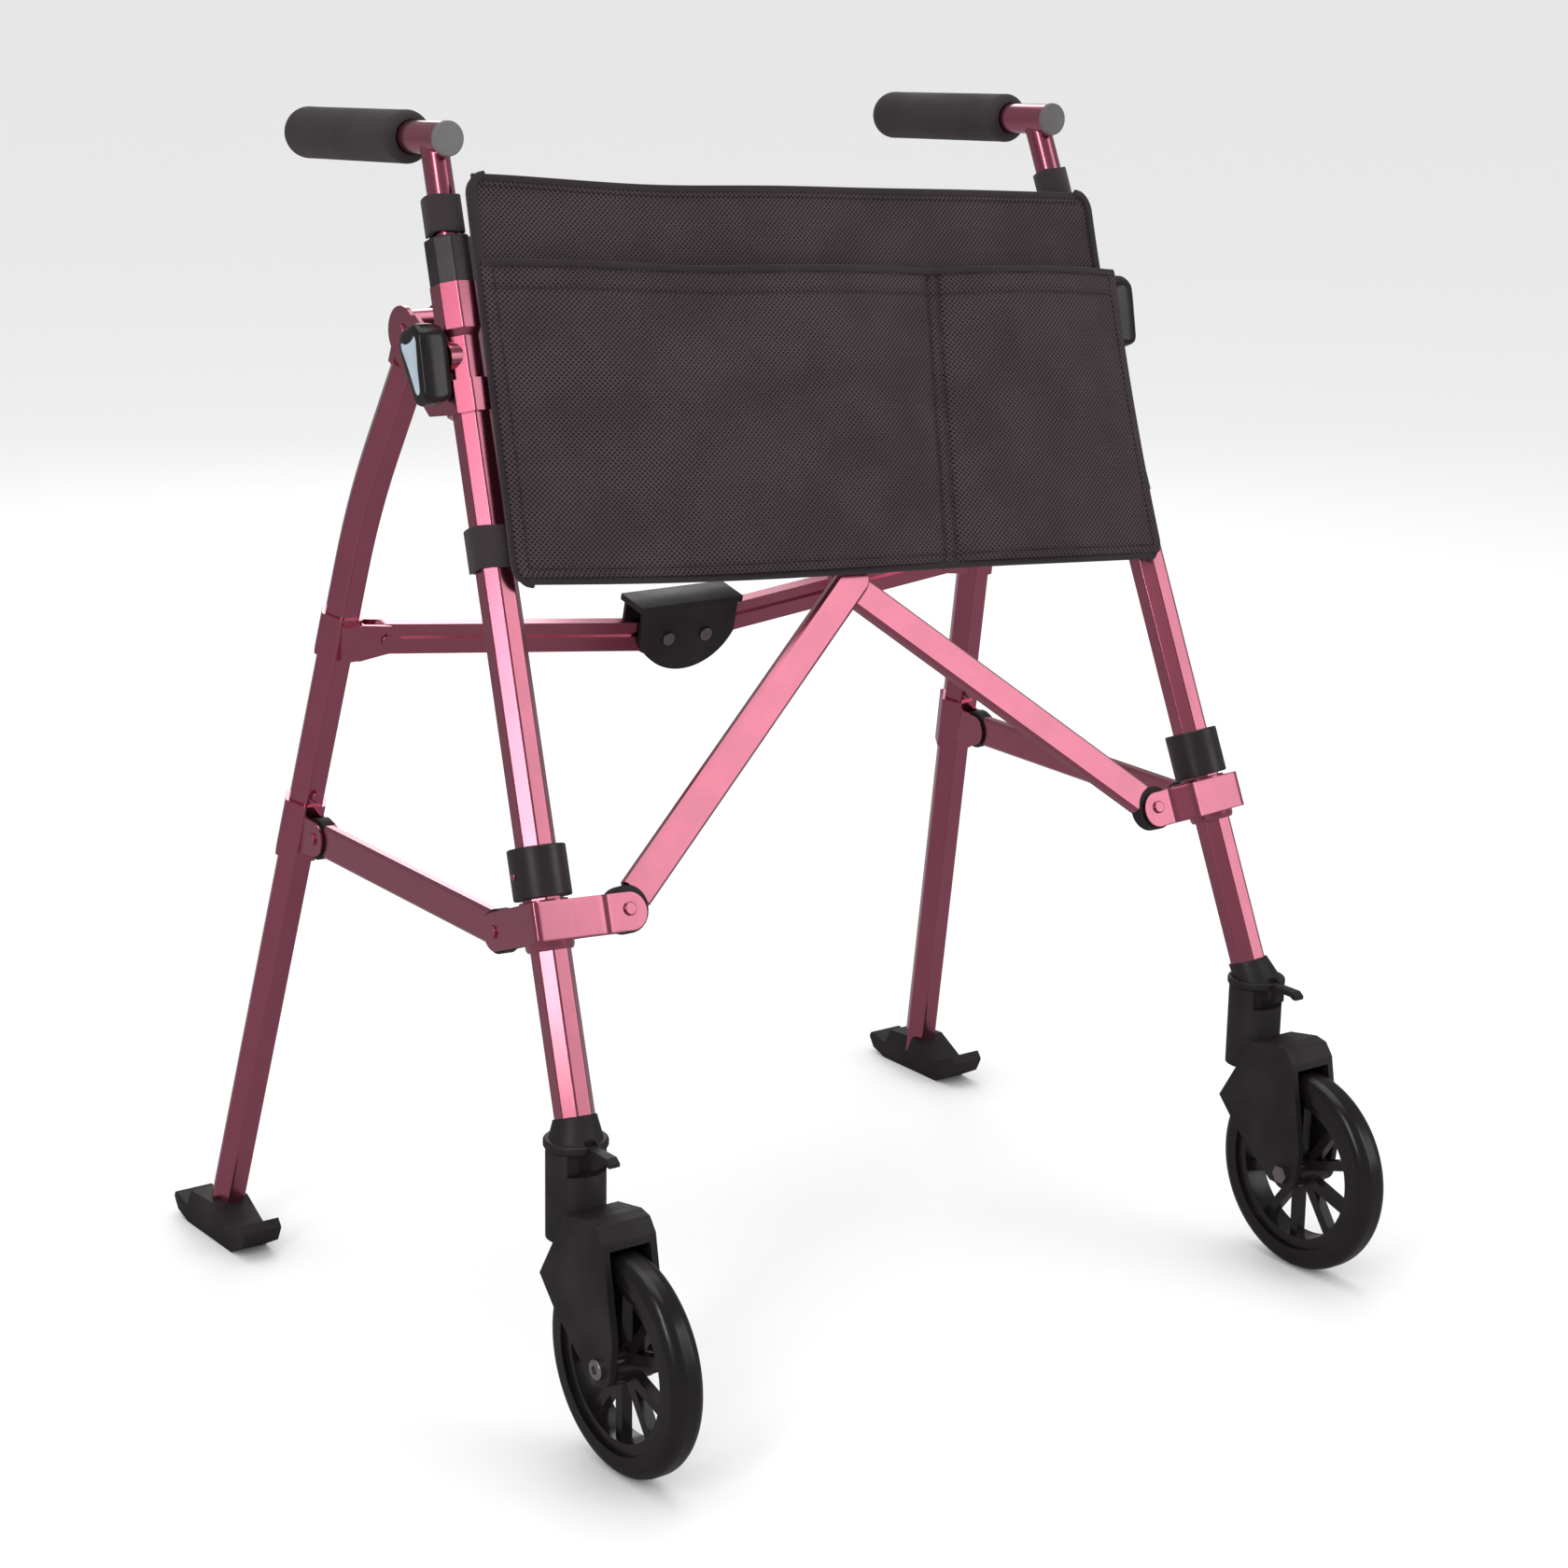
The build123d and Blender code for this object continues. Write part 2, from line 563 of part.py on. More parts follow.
with BuildPart() as fork:
    with BuildSketch(Plane.XY.offset(143)):
        with Locations(swivel):
            Circle(20)
    extrude(amount=FORK_TOP_Z - 143)
    with BuildSketch(side_plane(-SWIVEL_X - 20.5)) as fork_side:
        Polygon((-188, 150), (-168, 117), (-186, 98), (-226, 67), (-240, 66), (-252.2, 76),
                (-255, 98), (-243, 162), (-236, 171), (-226, 173), (-198, 168), align=None)
        with Locations((AXLE_Y, WHEEL_R)):
            Circle(12.4)
        fillet(fork_side.vertices().filter_by_position(Axis.Y, 160, 174), 3)
    extrude(amount=41)
    with BuildSketch(side_plane(-SWIVEL_X - 15.5)):
        with Locations((AXLE_Y, WHEEL_R)):
            Circle(80.5)
        with Locations((AXLE_Y, 36)):
            Rectangle(161, 80)
    extrude(amount=31, mode=Mode.SUBTRACT)
    with BuildSketch(Plane.XY.offset(148)):
        with Locations(swivel):
            Circle(13 + RUN)
    extrude(amount=80, mode=Mode.SUBTRACT)
    with BuildSketch(Plane.XY.offset(190)):
        with Locations((-SWIVEL_X, SWIVEL_Y - 20)):
            Rectangle(30, 16)
    extrude(amount=30, mode=Mode.SUBTRACT)
    with BuildSketch(side_plane(-SWIVEL_X - 30)):
        with Locations((AXLE_Y, WHEEL_R)):
            Circle(4)
    extrude(amount=60, mode=Mode.SUBTRACT)
save_pair(fork, "castor_fork")

# ---- wheel: tyre, spoked rim and axle bolt ----
wheel_mid = Plane(origin=(-SWIVEL_X, AXLE_Y, WHEEL_R), x_dir=(0, 1, 0), z_dir=(1, 0, 0))
with BuildPart() as tyre:
    with BuildSketch(wheel_mid.offset(-TYRE_W / 2)):
        Circle(WHEEL_R)
        Circle(60, mode=Mode.SUBTRACT)
    extrude(amount=TYRE_W)
    outer_edges = tyre.edges().filter_by(GeomType.CIRCLE).filter_by(lambda e: e.radius > 70)
    fillet(outer_edges, 9)
save_pair(tyre, "tyre")

with BuildPart() as rim:
    with BuildSketch(wheel_mid.offset(-9)):
        Circle(60)
        Circle(52, mode=Mode.SUBTRACT)
    extrude(amount=18)
    with BuildSketch(wheel_mid.offset(-14.8)):
        Circle(13)
    extrude(amount=29.6)
    with BuildSketch(wheel_mid.offset(-4)):
        with PolarLocations(0, 5):
            Polygon((8, -4), (53, -19), (53, -11.5), (8, 4), align=None)
            Polygon((8, 4), (53, 19), (53, 11.5), (8, -4), align=None)
    extrude(amount=8)
    with BuildSketch(wheel_mid.offset(-20)):
        Circle(4 + RUN)
    extrude(amount=40, mode=Mode.SUBTRACT)
save_pair(rim, "wheel_rim")

with BuildPart() as axle:
    with BuildSketch(wheel_mid.offset(-24.5)):
        Circle(7)
    extrude(amount=4)
    fillet(axle.faces().sort_by(Axis.X)[0].edges(), 1.2)
    with BuildSketch(wheel_mid.offset(-20.5)):
        Circle(4)
    extrude(amount=41)
    with BuildSketch(wheel_mid.offset(20.5)):
        RegularPolygon(7, 6)
    extrude(amount=4.5)
    with BuildSketch(wheel_mid.offset(-25)):
        RegularPolygon(3.2, 6)
    extrude(amount=3, mode=Mode.SUBTRACT)
save_pair(axle, "axle_bolt")

# ---- mesh bag in front of the legs: a back sheet with a pouch open at the top ----
BAG_BACK, BAG_H, BAG_LEFT, BAG_RIGHT, BAG_SLANT = 17.2, 277, -262, 286, 0.065
POCKET_DROP = 61                              # pocket mouth below the top of the back sheet
with BuildPart() as bag:
    bag_sheet = Plane(origin=front_plane(0).from_local_coords(Vector(0, -47.5, 0)),
                      x_dir=Vector(1, 0, 0) - UP * BAG_SLANT, z_dir=FRONT)
    section = Plane(origin=bag_sheet.from_local_coords(Vector(0, -BAG_H, 0)),
                    x_dir=bag_sheet.x_dir, z_dir=bag_sheet.y_dir)
    with BuildSketch(section):
        with BuildLine():
            Polyline((BAG_RIGHT, -BAG_BACK), (BAG_LEFT, -BAG_BACK), (BAG_LEFT, -BAG_BACK - 8))
            ThreePointArc((BAG_LEFT, -BAG_BACK - 8), (12, -BAG_BACK - 26), (BAG_RIGHT, -BAG_BACK - 8))
            Line((BAG_RIGHT, -BAG_BACK - 8), (BAG_RIGHT, -BAG_BACK))
        make_face()
    extrude(amount=BAG_H)
    fillet(bag.edges().filter_by(lambda e: abs(e.tangent_at(0).dot(FRONT)) > 0.99), 12)
    with BuildSketch(section.offset(6)):
        with BuildLine():
            left, right = BAG_LEFT + 8, BAG_RIGHT - 8
            Polyline((right, -BAG_BACK - 2.5), (left, -BAG_BACK - 2.5), (left, -BAG_BACK - 6))
            ThreePointArc((left, -BAG_BACK - 6), (12, -BAG_BACK - 23.5), (right, -BAG_BACK - 6))
            Line((right, -BAG_BACK - 6), (right, -BAG_BACK - 2.5))
        make_face()
    extrude(amount=BAG_H + 24, mode=Mode.SUBTRACT)
    with BuildSketch(section.offset(BAG_H - POCKET_DROP)):
        with Locations((12, -BAG_BACK - 22.5)):
            Rectangle(700, 40)
    extrude(amount=POCKET_DROP + 30, mode=Mode.SUBTRACT)
save(bag.part, "bag")

# ---- hook-and-loop straps round the stems and legs ----
with BuildPart() as straps:
    with BuildSketch(leg_at(66)):
        Circle(12.8)
        Circle(10.2, mode=Mode.SUBTRACT)
    extrude(amount=25)
    with BuildSketch(leg_at(292)):
        fillet(RegularPolygon(LEG_AF / 2 + 2.4, 8, major_radius=False, rotation=22.5).vertices(), 3)
        octagon = RegularPolygon(LEG_AF / 2 + 0.1, 8, major_radius=False, rotation=22.5, mode=Mode.PRIVATE)
        add(octagon, mode=Mode.SUBTRACT)
    extrude(amount=28)
save_pair(straps, "bag_straps")


# ---- rivets, one group per moving group ----
def rivet(plane, reach, head=4.6, height=1.8, shank=PIN_D / 2):
    """Rivet with its outer head standing on the plane and a shank reaching behind it."""
    with BuildPart() as part:
        with BuildSketch(plane):
            Circle(head)
        extrude(amount=height)
        fillet(part.faces().sort_by(Axis(plane.origin, plane.z_dir))[-1].edges(), 0.9)
        if reach:
            with BuildSketch(plane.offset(-reach)):
                Circle(shank)
            extrude(amount=reach)
    return part.part


def local(plane, x, y):
    """The same plane moved to a point of its own sketch."""
    return Plane(origin=plane.from_local_coords(Vector(x, y, 0)), x_dir=plane.x_dir, z_dir=plane.z_dir)


def outward(x, y, z):
    """Plane facing -X at a point."""
    return Plane(origin=(x, y, z), x_dir=(0, -1, 0), z_dir=(-1, 0, 0))


def side_head(x, y):
    """Plane on the outer side ear, facing away from the middle."""
    base = local(side_bar_plane(-PLATE - EAR_T), x, y)
    return Plane(origin=base.origin, x_dir=(0, -1, 0), z_dir=-SIDE_ACROSS)


def group(parts, label):
    """Write several separate solids as one node."""
    save(Compound(children=parts), label)


def both_sides(left_parts, right_parts, label):
    """Write a left group and a mirrored right group."""
    group(left_parts, f"left_{label}")
    group([mirrored(p) for p in right_parts], f"right_{label}")


collar_point = leg_at(493)
collar_rivets = [rivet(outward(collar_point.origin.X - COLLAR_D / 2 - 0.2, collar_point.origin.Y,
                               collar_point.origin.Z), 0, 2.4, 1.2)]
hinge_rivets = [rivet(outward(REAR_TOP.X - CHEEK_GAP - CHEEK_T, REAR_TOP.Y, REAR_TOP.Z),
                      2 * (CHEEK_GAP + CHEEK_T), 6, 2.4)]
both_sides(collar_rivets + hinge_rivets, collar_rivets + hinge_rivets, "leg_rivets")

ear_reach = 2 * (PLATE + EAR_T)


def slider_rivets(bar_offset):
    """Brace pin through its ears and a stub on the outer side ear."""
    brace = local(front_plane(bar_offset + PLATE + EAR_T), -BRACE_X, BRACE_PIN_V)
    return [rivet(brace, ear_reach), rivet(side_head(*SIDE_FRONT), 0)]


both_sides(slider_rivets(FRONT_BAR), slider_rivets(BACK_BAR), "bracket_rivets")


def rear_rivets(bar_offset):
    """Side bar pin, crossbar pin and the stop screw of one rear leg."""
    gap = CROSS_T / 2 + EAR_GAP + EAR_T
    cross = local(rear_plane(bar_offset + gap), -CROSS_PIN_X, clamp_rise)
    stop = rear_at(362)
    screw = Plane(origin=stop.origin + REAR_OUT * (REAR_AF / 2 + 0.2), x_dir=(1, 0, 0), z_dir=REAR_OUT)
    return [rivet(side_head(*SIDE_REAR), ear_reach),
            rivet(cross, 2 * gap), rivet(screw, 0, 4.2, 3)]


both_sides(rear_rivets(CROSS_FRONT), rear_rivets(CROSS_BACK), "rear_rivets")

hub_face = rear_plane(HUB_FRONT + CHEEK)
group([rivet(local(hub_face, -HUB_PIN_X, 0), CHEEK + 0.4 + CROSS_T, 5.2),
       rivet(local(hub_face, HUB_PIN_X, 0), 0, 5.2)], "hub_rivets")
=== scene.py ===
"""Looks of a folding walking frame: finishes, mesh bag, straps, grips, brackets and studio."""

import logging
import math
from dataclasses import dataclass, field
from enum import Enum
from typing import Callable, Optional, Sequence

import bpy
import numpy as np
from mathutils import Matrix, Vector


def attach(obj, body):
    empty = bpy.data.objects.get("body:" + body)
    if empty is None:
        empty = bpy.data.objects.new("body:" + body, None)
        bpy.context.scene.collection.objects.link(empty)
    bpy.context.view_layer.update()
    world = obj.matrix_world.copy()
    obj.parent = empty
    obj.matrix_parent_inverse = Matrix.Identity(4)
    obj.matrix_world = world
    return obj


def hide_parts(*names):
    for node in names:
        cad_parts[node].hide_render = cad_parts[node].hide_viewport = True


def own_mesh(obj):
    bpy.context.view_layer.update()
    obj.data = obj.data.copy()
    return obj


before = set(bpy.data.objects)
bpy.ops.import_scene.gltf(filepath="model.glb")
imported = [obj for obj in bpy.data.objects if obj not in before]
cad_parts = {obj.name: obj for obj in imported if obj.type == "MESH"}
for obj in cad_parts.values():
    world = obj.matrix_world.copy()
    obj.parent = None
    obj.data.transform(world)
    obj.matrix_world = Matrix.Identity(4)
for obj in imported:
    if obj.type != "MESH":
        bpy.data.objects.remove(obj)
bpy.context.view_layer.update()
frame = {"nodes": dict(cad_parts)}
LOG = logging.getLogger("walking_frame")

UP = np.array([0.0, 0.36090, 0.93261])
FRONT = np.array([0.0, -0.93261, 0.36090])
ACROSS = np.array([1.0, 0.0, 0.0])
HANDLE = np.array([0.0, 0.062, 0.830])
LEG_TOP = np.array([-0.261, 0.062, 0.830])
LEG = np.array([0.05904, 0.36027, 0.93098])
LEG_IN = ACROSS - UP * 0.05914
LEG_IN = LEG_IN / np.linalg.norm(LEG_IN)
LEG_BACK = np.cross(LEG, LEG_IN)
REAR = np.array([0.0963, -0.2314, 0.9681])


class Side(Enum):
    """Which half of the frame a piece belongs to."""

    LEFT = "left"
    RIGHT = "right"

    @property
    def sign(self) -> float:
        """Factor on X that turns a left point into this side's point."""
        return 1.0 if self is Side.LEFT else -1.0

    def place(self, points: np.ndarray) -> np.ndarray:
        """Left-hand points moved to this side."""
        return points * np.array([self.sign, 1.0, 1.0])


class Slot(Enum):
    """Material slot names of the new pieces; nothing in this script reads them."""

    ALUMINIUM = "rose_aluminium"
    GLOSS = "gloss_plastic"
    GREY = "grey_plastic"
    FOAM = "foam"
    WEBBING = "webbing"
    MESH = "mesh_fabric"


# ---------------------------------------------------------------- geometry
def front_points(x: np.ndarray, v: np.ndarray, out: np.ndarray) -> np.ndarray:
    """Points of the front plane: handle axis + x across + v up the plane + out towards the front.

    Args:
        x: distance across.
        v: distance up the plane.
        out: distance in front of the plane.

    Returns:
        Array of points.
    """
    x, v, out = np.broadcast_arrays(x, v, out)
    return HANDLE + x[..., None] * ACROSS + v[..., None] * UP + out[..., None] * FRONT


def leg_points(t: np.ndarray, inward: np.ndarray, back: np.ndarray) -> np.ndarray:
    """Points round the left front leg: leg top - t down the leg + inward + back across it.

    Args:
        t: distance down the leg.
        inward: distance towards the middle of the frame.
        back: distance behind the leg's axis.

    Returns:
        Array of points.
    """
    t, inward, back = np.broadcast_arrays(t, inward, back)
    return LEG_TOP - t[..., None] * LEG + inward[..., None] * LEG_IN + back[..., None] * LEG_BACK


def smooth_path(corners: Sequence[Sequence[float]], step: float, reach: float,
                closed: bool = False) -> np.ndarray:
    """Evenly spaced points along straight runs, averaged over a short reach to round the corners.

    Args:
        corners: corner points of the path.
        step: spacing of the points.
        reach: length over which each point is averaged.
        closed: whether the last corner joins the first.

    Returns:
        Array of points, one row each.
    """
    pts = np.asarray(corners, dtype=float)
    if closed:
        pts = np.vstack([pts, pts[:1]])
    run = np.concatenate([[0.0], np.cumsum(np.linalg.norm(np.diff(pts, axis=0), axis=1))])
    count = max(int(round(run[-1] / step)), 8)
    s = np.linspace(0.0, run[-1], count + 1)
    out = np.stack([np.interp(s, run, pts[:, k]) for k in range(pts.shape[1])], axis=1)
    half = max(int(round(reach / step / 2)), 1)
    kernel = np.hanning(2 * half + 3)[1:-1]
    kernel /= kernel.sum()
    if closed:
        out = out[:-1]
        padded = np.vstack([out[-half:], out, out[:half]])
        return np.stack([np.convolve(padded[:, k], kernel, "valid") for k in range(out.shape[1])], axis=1)
    first = 2 * out[0] - out[half:0:-1]
    last = 2 * out[-1] - out[-2:-half - 2:-1]
    padded = np.vstack([first, out, last])
    return np.stack([np.convolve(padded[:, k], kernel, "valid") for k in range(out.shape[1])], axis=1)


def grid_mesh(name: str, points: np.ndarray, ring: bool = False, loop: bool = False, flip: bool = False,
              caps: bool = False, uv: Optional[np.ndarray] = None, sharp: float = 40.0) -> bpy.types.Object:
    """One mesh object from a grid of points.

    Args:
        name: object name.
        points: array (rows, columns, 3).
        ring: the last column joins the first.
        loop: the last row joins the first.
        flip: turn the faces over.
        caps: close the first and last row with one face each.
        uv: array (rows + loop, columns + ring, 2) in metres.
        sharp: edges steeper than this many degrees stay sharp.

    Returns:
        The new object, linked to the scene.
    """
    rows, cols = points.shape[:2]
    index = np.arange(rows * cols).reshape(rows, cols)
    wide = np.vstack([index, index[:1]]) if loop else index
    wide = np.hstack([wide, wide[:, :1]]) if ring else wide
    quads = np.stack([wide[:-1, :-1], wide[:-1, 1:], wide[1:, 1:], wide[1:, :-1]], axis=-1).reshape(-1, 4)
    if uv is None:
        gu, gv = np.meshgrid(np.linspace(0, 1, wide.shape[1]), np.linspace(0, 1, wide.shape[0]))
        uv = np.stack([gu, gv], axis=-1)
    luv = np.stack([uv[:-1, :-1], uv[:-1, 1:], uv[1:, 1:], uv[1:, :-1]], axis=-2).reshape(-1, 4, 2)
    if flip:
        quads, luv = quads[:, ::-1], luv[:, ::-1]
    faces = quads.tolist()
    luv = luv.reshape(-1, 2)
    if caps:
        ends = [index[0][::-1], index[-1]] if not flip else [index[0], index[-1][::-1]]
        faces += [end.tolist() for end in ends]
        luv = np.vstack([luv, np.zeros((2 * cols, 2))])
    mesh = bpy.data.meshes.new(name)
    mesh.from_pydata(points.reshape(-1, 3).tolist(), [], faces)
    layer = mesh.uv_layers.new(name="UVMap")
    layer.data.foreach_set("uv", np.ascontiguousarray(luv, dtype=np.float32).ravel())
    mesh.polygons.foreach_set("use_smooth", np.ones(len(mesh.polygons), dtype=bool))
    mesh.update()
    mesh.set_sharp_from_angle(angle=math.radians(sharp))
    obj = bpy.data.objects.new(name, mesh)
    bpy.context.scene.collection.objects.link(obj)
    return obj


def revolve(name: str, profile: np.ndarray, origin: np.ndarray, axis: np.ndarray, segments: int = 48,
            closed: bool = False, flip: bool = False, sharp: float = 40.0) -> bpy.types.Object:
    """Surface of revolution: each profile point (distance along the axis, radius) carried round the axis.

    Args:
        name: object name.
        profile: array (n, 2).
        origin: a point on the axis.
        axis: direction of the axis.
        segments: steps round the axis.
        closed: the profile's last point joins its first.
        flip: turn the faces over.
        sharp: sharp-edge angle in degrees.

    Returns:
        The new object.
    """
    axis = axis / np.linalg.norm(axis)
    side = np.cross(axis, [0.0, 0.0, 1.0] if abs(axis[2]) < 0.9 else [1.0, 0.0, 0.0])
    side /= np.linalg.norm(side)
    other = np.cross(axis, side)
    angle = np.linspace(0, 2 * np.pi, segments, endpoint=False)
    wheel = np.cos(angle)[:, None] * side + np.sin(angle)[:, None] * other
    points = origin + profile[:, 0][:, None, None] * axis + profile[:, 1][:, None, None] * wheel
    reach = np.concatenate([[0], np.cumsum(np.linalg.norm(np.diff(profile, axis=0), axis=1))])
    if closed:
        reach = np.append(reach, reach[-1] + np.linalg.norm(profile[0] - profile[-1]))
    around = np.linspace(0, 2 * np.pi * profile[:, 1].max(), segments + 1)
    uv = np.stack(np.meshgrid(around, reach), axis=-1)
    return grid_mesh(name, points, ring=True, loop=closed, flip=flip, caps=not closed, uv=uv, sharp=sharp)


def solidify(obj: bpy.types.Object, thickness: float, offset: float = 0.0) -> None:
    """Give an open sheet its thickness."""
    mod = obj.modifiers.new("thickness", "SOLIDIFY")
    mod.thickness, mod.offset, mod.use_even_offset = thickness, offset, True


def bevel(obj: bpy.types.Object, width: float, segments: int = 2) -> None:
    """Round the sharp edges."""
    mod = obj.modifiers.new("edges", "BEVEL")
    mod.width, mod.segments, mod.limit_method, mod.angle_limit = width, segments, "ANGLE", math.radians(40)
    mod.harden_normals = False


def soften(obj: bpy.types.Object, width: float) -> None:
    """Round the moulded edges of a carried-over node: join its faces, then bevel the sharp edges."""
    weld = obj.modifiers.new("joined", "WELD")
    weld.merge_threshold = 0.00001
    bevel(obj, width)


# ---------------------------------------------------------------- materials
class Tree:
    """Small helper that adds nodes and links to one node tree."""

    def __init__(self, tree: bpy.types.NodeTree) -> None:
        """Keep the tree that is filled."""
        self.tree = tree

    def link(self, source: bpy.types.NodeSocket, target: bpy.types.NodeSocket) -> None:
        """Join two sockets."""
        self.tree.links.new(source, target)

    def add(self, kind: str, inputs: Optional[dict] = None, **settings: object) -> bpy.types.Node:
        """Add a node, set its properties and then its inputs.

        Args:
            kind: node type name.
            inputs: socket name or number to a value, or to the socket that feeds it.
            **settings: node properties.

        Returns:
            The new node.
        """
        node = self.tree.nodes.new(kind)
        for key, value in settings.items():
            setattr(node, key, value)
        for key, value in (inputs or {}).items():
            if isinstance(value, bpy.types.NodeSocket):
                self.link(value, node.inputs[key])
            else:
                node.inputs[key].default_value = value
        return node

    def math(self, operation: str, a: object, b: object = 0.0) -> bpy.types.NodeSocket:
        """Math node result."""
        return self.add("ShaderNodeMath", {0: a, 1: b}, operation=operation).outputs[0]

    def blend(self, mask: object, a: object, b: object) -> bpy.types.NodeSocket:
        """Colour a where the mask is 0 and colour b where it is 1."""
        return self.add("ShaderNodeMix", {0: mask, 6: a, 7: b}, data_type="RGBA").outputs[2]

    def ramp(self, value: object, low: float, high: float, to_low: float = 0.0, to_high: float = 1.0,
             smooth: bool = True) -> bpy.types.NodeSocket:
        """Value remapped from low..high to to_low..to_high, clamped."""
        kind = "SMOOTHSTEP" if smooth else "LINEAR"
        return self.add("ShaderNodeMapRange", {0: value, 1: low, 2: high, 3: to_low, 4: to_high},
                        interpolation_type=kind).outputs[0]


def new_group(name: str, inputs: Sequence[tuple], outputs: Sequence[tuple]) -> tuple:
    """Empty shader node group with named sockets.

    Args:
        name: group name.
        inputs: (name, socket type, default) for each input.
        outputs: (name, socket type) for each output.

    Returns:
        The group, its helper tree, its input node and its output node.
    """
    group = bpy.data.node_groups.new(name, "ShaderNodeTree")
    for label, kind, default in inputs:
        socket = group.interface.new_socket(label, in_out="INPUT", socket_type=kind)
        if default is not None:
            socket.default_value = default
    for label, kind in outputs:
        group.interface.new_socket(label, in_out="OUTPUT", socket_type=kind)
    tree = Tree(group)
    return group, tree, tree.add("NodeGroupInput"), tree.add("NodeGroupOutput")


class Effects:
    """Shared effects, each built once as a node group."""

    def __init__(self) -> None:
        """Build every group."""
        self.grain = self._grain()
        self.drawn = self._drawn()
        self.weave = self._weave()

    @staticmethod
    def _grain() -> bpy.types.NodeTree:
        """Moulded texture: fine noise for height over broad noise for tone; returns the group."""
        group, tree, source, sink = new_group(
            "moulded_grain", [("Vector", "NodeSocketVector", None), ("Scale", "NodeSocketFloat", 900.0)],
            [("Height", "NodeSocketFloat"), ("Tone", "NodeSocketFloat")])
        fine = tree.add("ShaderNodeTexNoise", {"Vector": source.outputs[0], "Scale": source.outputs[1],
                                               "Detail": 2.0, "Roughness": 0.6})
        broad = tree.add("ShaderNodeTexNoise", {"Vector": source.outputs[0], "Scale": 22.0, "Detail": 3.0})
        tree.link(fine.outputs[0], sink.inputs[0])
        tree.link(tree.ramp(broad.outputs[0], 0.32, 0.68), sink.inputs[1])
        return group

    @staticmethod
    def _drawn() -> bpy.types.NodeTree:
        """Drawn-tube streaks: noise stretched along the turned Z axis; returns the group."""
        group, tree, source, sink = new_group(
            "drawn_streaks", [("Vector", "NodeSocketVector", None), ("Scale", "NodeSocketFloat", 900.0)],
            [("Streak", "NodeSocketFloat"), ("Cloud", "NodeSocketFloat")])
        long = tree.add("ShaderNodeVectorMath", {0: source.outputs[0], 1: (1.0, 1.0, 0.012)},
                        operation="MULTIPLY")
        streak = tree.add("ShaderNodeTexNoise", {"Vector": long.outputs[0], "Scale": source.outputs[1],
                                                 "Detail": 2.0})
        cloud = tree.add("ShaderNodeTexNoise", {"Vector": source.outputs[0], "Scale": 35.0, "Detail": 4.0,
                                                "Roughness": 0.6})
        tree.link(tree.ramp(streak.outputs[0], 0.3, 0.7), sink.inputs[0])
        tree.link(tree.ramp(cloud.outputs[0], 0.35, 0.68), sink.inputs[1])
        return group

    @staticmethod
    def _weave() -> bpy.types.NodeTree:
        """Staggered lattice of holes: where the product of two sine waves is high; returns the group."""
        group, tree, source, sink = new_group(
            "lattice", [("Vector", "NodeSocketVector", None), ("Pitch", "NodeSocketFloat", 0.0038),
                        ("Rise", "NodeSocketFloat", 0.0034)],
            [("Hole", "NodeSocketFloat")])
        parts = tree.add("ShaderNodeSeparateXYZ", {0: source.outputs[0]})
        waves = []
        for axis, pitch in ((0, 1), (1, 2)):
            turns = tree.math("DIVIDE", parts.outputs[axis], source.outputs[pitch])
            waves.append(tree.math("SINE", tree.math("MULTIPLY", turns, 2 * math.pi)))
        product = tree.math("MULTIPLY", waves[0], waves[1])
        tree.link(tree.ramp(product, 0.12, 0.40), sink.inputs[0])
        return group


@dataclass(frozen=True)
class Finish:
    """Common base of the finishes: the constants of one Principled shader."""

    colour: tuple = (0.5, 0.5, 0.5, 1.0)
    shade: tuple = (0.4, 0.4, 0.4, 1.0)
    metallic: float = 0.0
    rough: float = 0.5
    rough_spread: float = 0.08
    coat: float = 0.0
    coat_ior: float = 1.5
    coat_rough: float = 0.1
    sheen: float = 0.0
    specular: float = 0.5
    bump: float = 0.1
    bump_depth: float = 0.0003
    scale: float = 900.0

    def start(self, name: str) -> tuple:
        """New material with its shader's constants set.

        Args:
            name: material name.

        Returns:
            The material, its helper tree and the shader node.
        """
        mat = bpy.data.materials.new(name)
        mat.use_nodes = True
        tree = Tree(mat.node_tree)
        shader = mat.node_tree.nodes["Principled BSDF"]
        values = {"Metallic": self.metallic, "Coat Weight": self.coat, "Coat Roughness": self.coat_rough,
                  "Coat IOR": self.coat_ior, "Sheen Weight": self.sheen, "Specular IOR Level": self.specular}
        for key, value in values.items():
            shader.inputs[key].default_value = value
        mat.diffuse_color = self.colour
        return mat, tree, shader

    def bump_from(self, tree: Tree, shader: bpy.types.Node, height: bpy.types.NodeSocket) -> None:
        """Feed a height through a Bump node into the shader's normal."""
        node = tree.add("ShaderNodeBump", {"Strength": self.bump, "Distance": self.bump_depth,
                                           "Height": height})
        tree.link(node.outputs[0], shader.inputs["Normal"])


